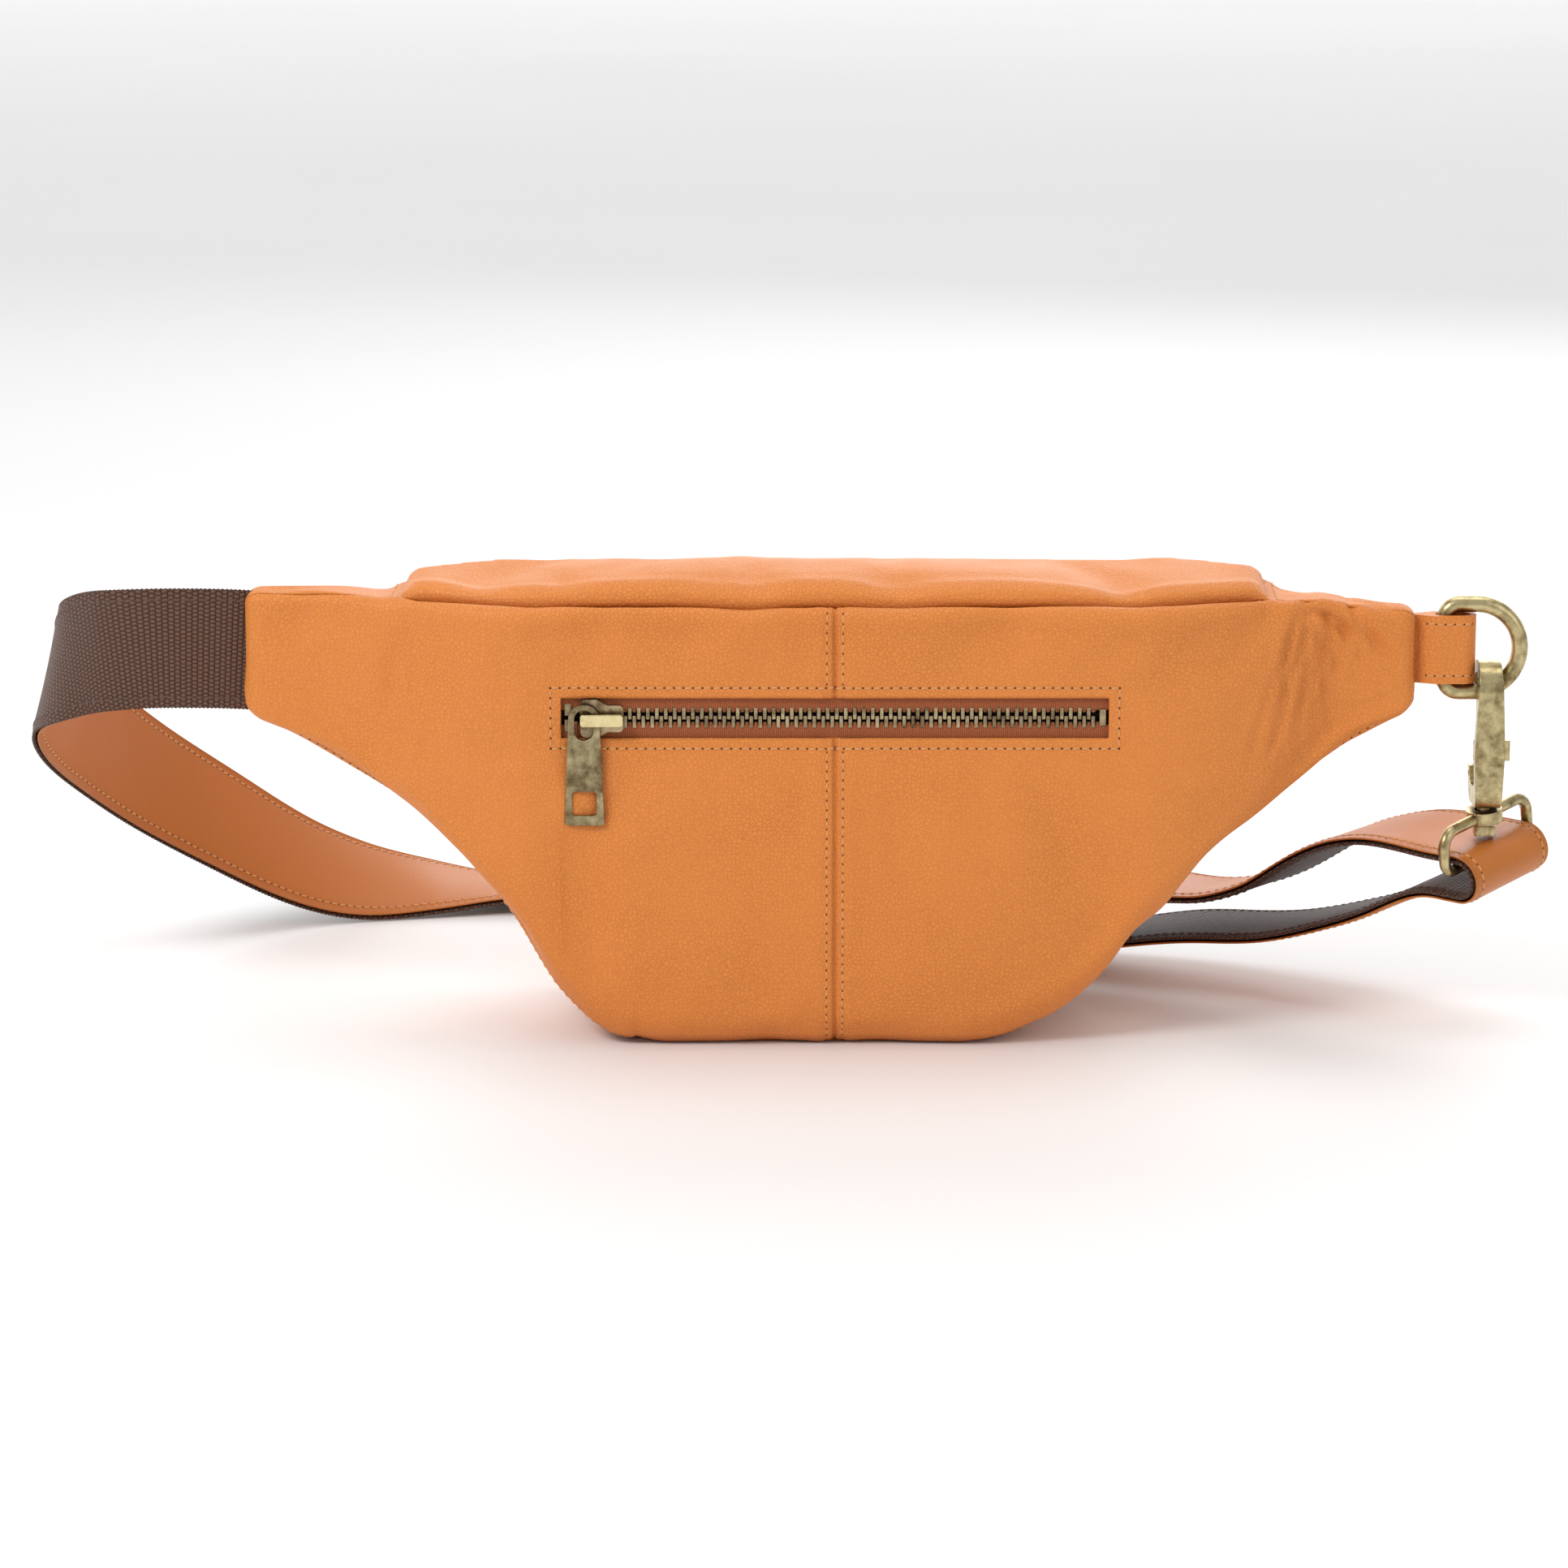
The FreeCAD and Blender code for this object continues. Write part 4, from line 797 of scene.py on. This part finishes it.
def needleHoles(name, spots, normals, lengths, count, radius):
    # a dark dimple where the thread goes down between two stitches; its dark colour is painted shade
    verts, faces = [], []
    for k in range(count + 1):
        at = k * lengths[-1] / count
        spot = pointAt(at, lengths, spots)
        up = pointAt(at, lengths, normals)
        up = unit(up)
        side = np.cross(up, (0.3, 0.2, 0.93))
        side = unit(side)
        ahead = np.cross(side, up)
        first, sides = len(verts), stitch["holeSides"]
        verts.append(spot + up * stitch["holeMiddle"])
        for j in range(sides):
            a = 2 * math.pi * j / sides
            rim = (ahead * math.cos(a) + side * math.sin(a)) * radius * stitch["holeShare"]
            verts.append(spot + rim + up * stitch["holeRim"])
        faces += [(first, first + 1 + j, first + 1 + (j + 1) % sides) for j in range(sides)]
    holes = addMesh(name, verts, faces)
    holes.data.materials.append(holeShade)
    return holes


def sewOnRear(name, corners):
    spots, normals = [], []
    for (x0, z0), (x1, z1) in zip(corners, corners[1:]):
        count = max(2, int(math.hypot(x1 - x0, z1 - z0) / (1.0 * mm)))
        for k in range(count + 1):
            t = k / count
            spot, normal = onRear(x0 + (x1 - x0) * t, z0 + (z1 - z0) * t)
            spots.append(spot)
            normals.append(normal)
    sewRow(name, spots, normals)


seams = {"beside": 2.25 * mm, "zipFrame": 3.0 * mm, "low": 3 * mm, "high": 128 * mm}
for side, label in ((-1, "Left"), (1, "Right")):
    x = side * seams["beside"]
    below = zipMiddleZ - windowRise - seams["zipFrame"] - 1 * mm
    above = zipMiddleZ + windowRise + seams["zipFrame"] + 1 * mm
    sewOnRear("centreSeamLow" + label, [(x, seams["low"]), (x, below)])
    sewOnRear("centreSeamHigh" + label, [(x, above), (x, seams["high"])])
frameX, frameZ = windowHalf + seams["zipFrame"], windowRise + seams["zipFrame"]
for label, corners in {
    "Top": [(-frameX, frameZ), (frameX, frameZ)], "Bottom": [(-frameX, -frameZ), (frameX, -frameZ)],
    "Left": [(-frameX, -frameZ), (-frameX, frameZ)], "Right": [(frameX, -frameZ), (frameX, frameZ)],
}.items():
    sewOnRear("zipFrame" + label, [(x, zipMiddleZ + z) for x, z in corners])


def seamAlong(name, column, away, first, last):
    # stitches that run beside a seam of the skin, away from it by some rings
    rows = [i for i, x in enumerate(places) if first <= x <= last]
    line = (column + away) % ringCount
    sewRow(name, skinGrid[rows, line], skinNormals[rows, line])


seamAlong("rearEdgeSeam", starts["bottom"], 2, 40 * mm, 166 * mm)
seamAlong("rearEdgeSeamLeft", starts["bottom"], 2, -166 * mm, -40 * mm)
seamAlong("frontEdgeSeam", starts["front"], 3, -160 * mm, 160 * mm)
seamAlong("shoulderSeam", starts["slope"], -3, -122 * mm, 122 * mm)
for side, label in ((-1, "Left"), (1, "Right")):
    row = int(np.argmin(np.abs(places - side * 128.2 * mm)))
    columns = slice(starts["slope"] + 4, starts["aboveZip"] - 2)
    sewRow("topPanelEnd" + label, skinGrid[row, columns], skinNormals[row, columns])
print("seams sewn")


# ---- linings and pads inside ----
def insideForm(name, distance, first, last):
    step = 6 * mm
    xs = np.linspace(first, last, max(8, int((last - first) / step)))
    grid = pouchGrid(xs, distance, coarseCounts)
    rows, columns = grid.shape[:2]
    faces = gridFaces(rows, columns, closed=True)
    faces += [list(range(columns))[::-1], [(rows - 1) * columns + j for j in range(columns)]]
    form = addMesh(name, grid.reshape(-1, 3), faces)
    setClothUv(form, [(x, j * step) for x in xs for j in range(columns)])
    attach(form, "pack")
    return form


liningBag = insideForm("liningBag", 6.0 * mm, -120 * mm, 120 * mm)
liningBag.data.materials.append(cloths["liningCloth"])
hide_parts("main_lining", "rear_pocket_lining", "centre_seam_tape")
foamMaterial, foamTree, foamShader = startMaterial("padFoam")
foamPlace = objectPlace(foamTree)
cells = addNode(foamTree, "TexVoronoi", {"Vector": foamPlace, "Scale": 900.0})
foamTree.links.new(ramp(foamTree, cells.outputs["Distance"], [(0.0, grey(0.45)), (1.0, grey(0.72))]),
                   foamShader.inputs["Base Color"])
foamShader.inputs["Roughness"].default_value = 0.95
for label, first, last in (("Left", -163 * mm, -124 * mm), ("Right", 124 * mm, 163 * mm)):
    pad = insideForm("wingPad" + label, 4.2 * mm, first, last)
    pad.data.materials.append(foamMaterial)
    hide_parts("wing_foam_" + label.lower())


# ---- zips ----
zipCloth = {"reach": 9.0 * mm, "edge": 2.2 * mm, "tapeThick": 0.6 * mm, "beyond": 3.5 * mm, "columns": 9,
            "pitch": 2.58 * mm, "bead": 1.5 * mm, "beadFrom": 2.05 * mm, "beadStart": 0.5 * mm}


def zipAxes(name, swing):
    # middle of the chain, and the directions along it, across it and out of the leather
    outward = Vector(joints[swing]["axis"]).normalized()
    if name == "rear_zip":
        outward = Vector((0, -1, 0))
    low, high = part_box(name + "_teeth_upper")
    low2, high2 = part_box(name + "_teeth_lower")
    middle = (Vector(map(min, low, low2)) + Vector(map(max, high, high2))) / 2
    middle.x = 0
    up = Vector((0, 0, 1)) if name == "rear_zip" else outward.cross(Vector((-1, 0, 0))).normalized()
    return middle, up.cross(outward), up, outward


def zipTapes(name, swing):
    middle, along, up, outward = zipAxes(name, swing)
    half = windowHalf + zipCloth["beyond"]
    columns = zipCloth["columns"]
    rows = int(2 * half / (1.3 * mm))
    for side, label in ((1, "upper"), (-1, "lower")):
        verts, uvs = [], []
        for i in range(rows + 1):
            for j in range(columns):
                v = zipCloth["edge"] + (zipCloth["reach"] - zipCloth["edge"]) * j / (columns - 1)
                u = -half + 2 * half * i / rows
                rise = 0.05 * mm * math.sin(u * 900) * math.sin(v * 700)
                spot = middle + along * u + up * v * side + outward * (zipCloth["tapeThick"] / 2 + rise)
                verts.append(spot)
                uvs.append((u, v))
        faces = gridFaces(rows + 1, columns)
        if side < 0:
            faces = [face[::-1] for face in faces]
        tape = addMesh(name + "Tape" + label.capitalize(), verts, faces)
        setClothUv(tape, uvs)
        thicken(tape, zipCloth["tapeThick"])
        tape.data.materials.append(cloths["zipTapeCloth"])
        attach(tape, "pack")
        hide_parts(name + "_tape_" + label)
        beads(name + "Cord" + label.capitalize(), name + "_teeth_" + label, middle, along, up * side, outward)


def beads(name, teeth, middle, along, up, outward):
    # the woven cord swells out between the teeth that bite on it
    low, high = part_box(teeth)
    first = low.x if along.x > 0 else -high.x
    count = int((high.x - low.x) / zipCloth["pitch"])
    bead = zipCloth["bead"] / 2
    verts, faces = [], []
    rings, sides = 6, 8
    for k in range(-2, count + 1):
        centreU = first + zipCloth["beadStart"] + (k + 0.5) * zipCloth["pitch"]
        if abs(centreU) > windowHalf:
            continue
        offset = len(verts)
        for i in range(rings):
            t = math.pi * i / (rings - 1)
            for j in range(sides):
                a = 2 * math.pi * j / sides
                verts.append(middle + along * (centreU - math.cos(t) * bead)
                             + up * (zipCloth["beadFrom"] + math.cos(a) * math.sin(t) ** 0.7 * bead)
                             + outward * (math.sin(a) * math.sin(t) ** 0.7 * bead))
        faces += [tuple(v + offset for v in face) for face in gridFaces(rings, sides, closed=True)]
    cord = addMesh(name, verts, faces)
    setClothUv(cord, [(v.co.x, v.co.z + v.co.y) for v in cord.data.vertices])
    cord.data.materials.append(cloths["zipCordCloth"])
    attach(cord, "pack")


zipTapes("rear_zip", "rear_pull_swing")
zipTapes("main_zip", "main_pull_swing")
print("zips woven")


# ---- strap ----
strap = {
    "run": [(-167, -6, 112.5, 0, 0, 1), (-175, -6.5, 113, 0, 0, 1), (-187, -8, 113.5, 0, 0, 1),
            (-199.5, -8.5, 113.5, 0, 0, 1), (-210, -6, 112.5, 0.04, 0.02, 1), (-219, 1, 110, 0.08, 0.05, 1),
            (-227.5, 11, 105, 0.16, 0.12, 0.98), (-233, 27, 98, 0.22, 0.2, 0.95),
            (-232.5, 48, 85, 0.24, 0.33, 0.91), (-225, 70, 70.5, 0.25, 0.47, 0.85),
            (-212, 91, 54.5, 0.24, 0.58, 0.78), (-190, 112.5, 35, 0.21, 0.72, 0.67),
            (-166, 129, 17.8, 0.2, 0.85, 0.49), (-148, 138, 10.6, 0.17, 0.91, 0.38),
            (-127, 145, 7.2, 0.1, 0.98, 0.2), (-105, 150, 5, 0.02, 1, 0), (-80, 149, 4, 0, 1, 0),
            (-50, 136, 4.5, 0.3, 0.95, 0), (-25, 119, 6.5, 0.44, 0.9, 0), (0, 101, 9.5, 0.46, 0.88, 0),
            (25, 87, 11.4, 0.46, 0.88, 0), (50, 75.5, 13.5, 0.42, 0.9, 0), (78, 65, 20, 0.32, 0.95, 0)],
    "upper": [(105, 57, 27, 0.22, 0.97, 0), (114.4, 53.8, 27, 0.28, 0.95, -0.04),
              (124, 50, 28.8, 0.38, 0.92, -0.08), (134, 46, 33, 0.52, 0.85, -0.06),
              (144, 39.5, 40.5, 0.62, 0.78, -0.02), (154.5, 31, 48.5, 0.66, 0.75, 0.03),
              (162, 23.5, 52.5, 0.69, 0.72, 0.06), (169.3, 16.5, 54.8, 0.7, 0.71, 0.1)],
    "lower": [(170, 16.6, 33, 0.69, 0.72, 0.08), (154.3, 29.7, 24.5, 0.62, 0.78, 0.05),
              (137.5, 41, 18.5, 0.5, 0.86, 0.03), (124, 50, 16, 0.38, 0.9, 0.02),
              (111, 56.9, 14.5, 0.3, 0.95, 0.02), (96, 62.5, 11.8, 0.27, 0.96, 0),
              (78, 67.5, 8, 0.32, 0.95, 0), (60, 73, 4, 0.42, 0.9, 0), (47, 78, 2.2, 0.45, 0.89, 0),
              (38, 80.4, 1.7, 0.46, 0.88, 0)],
    "yaw": 45, "tilt": 9, "loopDrop": 12, "barAhead": 2.0, "barLow": 2.5, "foldRadius": 6.3,
    "wrapMiddle": (25, 87, 4.8), "wrapAlong": (0.88, -0.46, 0), "wrapAcross": (0.46, 0.88, 0),
    "wrapRadius": 3.4, "wrapLength": 20, "webbingHalf": 17.5, "leatherHalf": 17.0, "webbingThick": 1.6,
    "leatherThick": 1.2, "glue": 0.05,
    "step": 0.6, "scallop": 0.28, "rib": 1.2, "stitchIn": 2.6,
}


def halfTurn(centre, back, up, width, radius):
    leads = [radius * share for share in (1.6, 0.8, 0.35)]
    points = [centre + back * lead + up * radius for lead in leads]
    for degrees in range(90, -91, -20):
        a = math.radians(degrees)
        points.append(centre - back * (radius * math.cos(a)) + up * (radius * math.sin(a)))
    points += [centre + back * lead - up * radius for lead in reversed(leads)]
    return [(*p, *width) for p in points]


def strapStations():
    s = strap
    yaw, tilt = math.radians(s["yaw"]), math.radians(s["tilt"])
    along = np.array([math.cos(yaw) * math.cos(tilt), math.sin(yaw) * math.cos(tilt), math.sin(tilt)])
    across = np.array([-math.sin(yaw), math.cos(yaw), 0])
    up = np.cross(along, across)
    stem = np.array(joints["loop_swivel"]["pos_m"]) / mm
    fold = stem - up * s["loopDrop"] - across * s["barAhead"] - up * s["barLow"]
    turn = halfTurn(fold, across, up, along, s["foldRadius"])
    wrapAlong = np.array(s["wrapAlong"]) / np.linalg.norm(s["wrapAlong"])
    wrapAcross = np.array(s["wrapAcross"]) / np.linalg.norm(s["wrapAcross"])
    wrap = halfTurn(np.array(s["wrapMiddle"]), wrapAlong, np.array([0, 0, -1.0]), wrapAcross, s["wrapRadius"])
    tail = np.array(s["wrapMiddle"]) + wrapAlong * s["wrapLength"] + np.array([0, 0, s["wrapRadius"]])
    return s["run"] + s["upper"] + turn + s["lower"] + wrap + [(*tail, *wrapAcross)]


def splineThrough(params, values, at):
    # a natural cubic spline through the stations
    n = len(params)
    h = np.diff(params)
    system, right = np.eye(n), np.zeros((n, values.shape[1]))
    for i in range(1, n - 1):
        system[i, i - 1:i + 2] = [h[i - 1], 2 * (h[i - 1] + h[i]), h[i]]
        right[i] = 6 * ((values[i + 1] - values[i]) / h[i] - (values[i] - values[i - 1]) / h[i - 1])
    bend = np.linalg.solve(system, right)
    k = np.clip(np.searchsorted(params, at, side="right") - 1, 0, n - 2)
    a, b = (params[k + 1] - at)[:, None], (at - params[k])[:, None]
    hk = h[k][:, None]
    return (bend[k] * a ** 3 + bend[k + 1] * b ** 3) / (6 * hk) + (values[k] / hk - bend[k] * hk / 6) * a + (
        values[k + 1] / hk - bend[k + 1] * hk / 6) * b


def strapFrames():
    stations = np.array(strapStations())
    points, widths = stations[:, :3], stations[:, 3:]
    params = np.concatenate([[0], np.cumsum(np.linalg.norm(np.diff(points, axis=0), axis=1))])
    at = np.arange(0, params[-1], strap["step"])
    middle = splineThrough(params, points, at)
    side = splineThrough(params, points + widths * 9, at) - middle
    tangent = np.gradient(middle, axis=0)
    tangent /= np.linalg.norm(tangent, axis=1, keepdims=True)
    out = np.cross(tangent, side)
    out /= np.linalg.norm(out, axis=1, keepdims=True)
    side = np.cross(out, tangent)
    return at, middle, side, out


def ribbon(name, half, low, high, material, scallop=0.0):
    # a closed strip with rounded edges; the webbing's edges follow its ribs
    at, middle, side, out = strapFrames()
    thick = high - low
    columns = 14
    across = [-1 + 2 * j / columns for j in range(columns + 1)]
    rise = (0.25, 0.5, 0.75)
    profile = ([(t, 0.0) for t in across] + [(1.0, level) for level in rise]
               + [(t, 1.0) for t in reversed(across)] + [(-1.0, level) for level in reversed(rise)])
    verts, uvs = [], []
    for i in range(len(at)):
        wobble = scallop * (abs(math.sin(math.pi * at[i] / strap["rib"])) - 0.6)
        for t, level in profile:
            edge = 1 - abs(t)
            rounding = min(0.35 * thick, 0.45) * max(0.0, 1 - edge * half / 0.7) ** 2
            lift = low + thick * level + (rounding if level == 0 else -rounding if level == 1 else 0)
            bulge = (half + wobble) * t + (0.12 * math.sin(math.pi * level) * t if abs(t) == 1 else 0)
            verts.append((middle[i] + side[i] * bulge + out[i] * lift) * mm)
            uvs.append((at[i] * mm, (half * t + 2.2 * level) * mm))
    count = len(profile)
    faces = gridFaces(len(at), count, closed=True)
    faces += [tuple(range(count))[::-1], tuple((len(at) - 1) * count + j for j in range(count))]
    strip = addMesh(name, verts, faces)
    setClothUv(strip, uvs)
    strip.data.materials.append(material)
    return strip


def bendWithHook(piece):
    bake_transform(piece)


webbingStrip = ribbon("strapWebbing", strap["webbingHalf"], -strap["webbingThick"], 0.0,
                      cloths["beltWebbing"], scallop=strap["scallop"])
bendWithHook(webbingStrip)
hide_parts("strap_webbing", "strap_end_webbing")
leatherStrip = ribbon("strapLeatherFace", strap["leatherHalf"], strap["glue"],
                      strap["glue"] + strap["leatherThick"], strapLeather)
bendWithHook(leatherStrip)
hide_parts("strap_leather", "strap_end_leather")


def strapStitches(name, edge, face):
    at, middle, side, out = strapFrames()
    along = slice(8, len(at) - 8, 2)
    lift = strap["glue"] + strap["leatherThick"] if face > 0 else -strap["webbingThick"]
    inset = strap["leatherHalf"] - strap["stitchIn"]
    spots = (middle + side * edge * inset + out * (lift + 0.03 * face)) * mm
    sewRow(name, spots[along], out[along] * face, radius=0.3 * mm, mover=bendWithHook,
           material=seamThread if face > 0 else darkThread)


for edge, label in ((-1, "Near"), (1, "Far")):
    strapStitches("strapStitch" + label, edge, 1)
    strapStitches("webbingStitch" + label, edge, -1)
print("strap sewn")


# ---- ring tab ----
tabStyle = {"stitchIn": 2.4 * mm, "points": 30}
tabLow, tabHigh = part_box("ring_tab")
tabNode = nodes["ring_tab"]
tabNode.data.materials.clear()
tabNode.data.materials.append(pouchLeather)
tabTree = BVHTree.FromPolygons([v.co for v in tabNode.data.vertices],
                               [p.vertices for p in tabNode.data.polygons])
for z, label in ((tabLow.z + tabStyle["stitchIn"], "Low"), (tabHigh.z - tabStyle["stitchIn"], "High")):
    spots, normals = [], []
    for k in range(tabStyle["points"]):
        x = halfLength + 1 * mm + (tabHigh.x - halfLength - 2.5 * mm) * k / (tabStyle["points"] - 1)
        spot, normal, _, _ = tabTree.ray_cast(Vector((x, -0.1, z)), Vector((0, 1, 0)))
        spots.append(spot)
        normals.append(normal if normal.y < 0 else -normal)
    sewRow("tabStitch" + label, spots, normals, radius=0.3 * mm)


# ---- metal parts keep their CAD shape, with eased edges ----
finishes = {
    "antiqueBrass": ["d_ring", "snap_hook", "hook_gate", "gate_pin", "swivel_rivet", "swivel_loop",
                     "adjuster"],
    "zipBrass": ["rear_zip_teeth_upper", "rear_zip_teeth_lower", "rear_zip_stops", "main_zip_teeth_upper",
                 "main_zip_teeth_lower", "main_zip_stops", "rear_zip_slider", "main_zip_slider"],
    "pullBrass": ["rear_zip_pull", "main_zip_pull"],
    "goldBrass": ["rear_zip_bridge", "main_zip_bridge"],
    "springWire": ["gate_spring"],
}
edgeAngle = math.radians(40)


def smoothFaces(node):
    node.data.polygons.foreach_set("use_smooth", [True] * len(node.data.polygons))


def splitEdges(node):
    split = node.modifiers.new("Edges", "EDGE_SPLIT")
    split.split_angle = edgeAngle


for finish, members in finishes.items():
    for member in members:
        node = nodes[member]
        node.data.materials.clear()
        node.data.materials.append(metalFinishes[finish])
        smoothFaces(node)
        weld = node.modifiers.new("Join", "WELD")
        weld.merge_threshold = 0.002 * mm
        splitEdges(node)
smoothFaces(tabNode)
tabBevel = tabNode.modifiers.new("Ease", "BEVEL")
tabBevel.width, tabBevel.segments, tabBevel.limit_method = 0.5 * mm, 3, "ANGLE"
splitEdges(tabNode)
print("metal finished")


# ---- floor, lights, camera ----
studio = {
    "elevation": 12.0, "target": (-0.0146, -0.020, 0.0756), "distance": 1.5, "lens": 118.8, "sensor": 36,
    "floorHalf": 6, "backdropHalf": 9, "backdropY": 5.9, "backdropLow": -0.5, "backdropTop": 6, "world": 0.5,
    "lights": {  # place, target, size, power
        "keyLight": ((-0.85, -0.9, 1.15), (0, 0, 0.07), (0.55, 0.45), 11),
        "fillLight": ((1.1, -0.9, 0.7), (0, 0, 0.07), (0.9, 0.9), 2.5),
        "topLight": ((0.1, 0.25, 1.4), (0, 0, 0.05), (1.2, 0.8), 6),
        "backLight": ((0.4, 1.5, 0.8), (0, 0, 0.08), (1.2, 0.8), 4),
    },
}


def areaLight(name, place, target, size, power):
    data = bpy.data.lights.new(name, "AREA")
    data.shape = "RECTANGLE"
    data.size, data.size_y = size
    data.energy = power
    light = bpy.data.objects.new(name, data)
    light.location = place
    light.rotation_euler = (Vector(target) - Vector(place)).to_track_quat("-Z", "Y").to_euler()
    bpy.context.scene.collection.objects.link(light)


floorMaterial, floorTree, floorShader = startMaterial("paleFloor")
dust = addNode(floorTree, "TexNoise", {"Scale": 14.0, "Detail": 3.0}).outputs["Fac"]
floorColor = ramp(floorTree, dust, [(0.3, grey(0.89)), (0.7, grey(0.92))])
floorTree.links.new(floorColor, floorShader.inputs["Base Color"])
floorShader.inputs["Roughness"].default_value = 0.55
reach = studio["floorHalf"]
floor = addMesh("floor", [(-reach, -reach, 0), (reach, -reach, 0), (reach, reach, 0), (-reach, reach, 0)],
                [(0, 1, 2, 3)], smooth=False)
floor.data.materials.append(floorMaterial)
floor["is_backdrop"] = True
backdropMaterial, backdropTree, backdropShader = startMaterial("paleBackdrop")
backdropShader.inputs["Emission Color"].default_value = (1, 1, 1, 1)
backdropShader.inputs["Emission Strength"].default_value = 1.0
wide, back, low, tall = (studio["backdrop" + part] for part in ("Half", "Y", "Low", "Top"))
backdrop = addMesh("backdrop", [(-wide, back, low), (wide, back, low), (wide, back, tall),
                                (-wide, back, tall)], [(0, 1, 2, 3)], smooth=False)
backdrop.data.materials.append(backdropMaterial)
backdrop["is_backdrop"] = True
for name, values in studio["lights"].items():
    areaLight(name, *values)
world = bpy.data.worlds.new("studioAir")
bpy.context.scene.world = world
world.use_nodes = True
sky = world.node_tree.nodes["Background"]
sky.inputs["Color"].default_value = (1, 1, 1, 1)
sky.inputs["Strength"].default_value = studio["world"]
bpy.context.scene.view_settings.view_transform = "Standard"
cameraData = bpy.data.cameras.new("camera")
cameraData.lens = studio["lens"]
cameraData.sensor_width = studio["sensor"]
camera = bpy.data.objects.new("camera", cameraData)
tilt = math.radians(studio["elevation"])
aim = Vector(studio["target"])
camera.location = aim - Vector((0, math.cos(tilt), -math.sin(tilt))) * studio["distance"]
camera.rotation_euler = (aim - camera.location).to_track_quat("-Z", "Y").to_euler()
bpy.context.scene.collection.objects.link(camera)
bpy.context.scene.camera = camera

low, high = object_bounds()
print("scene ready")
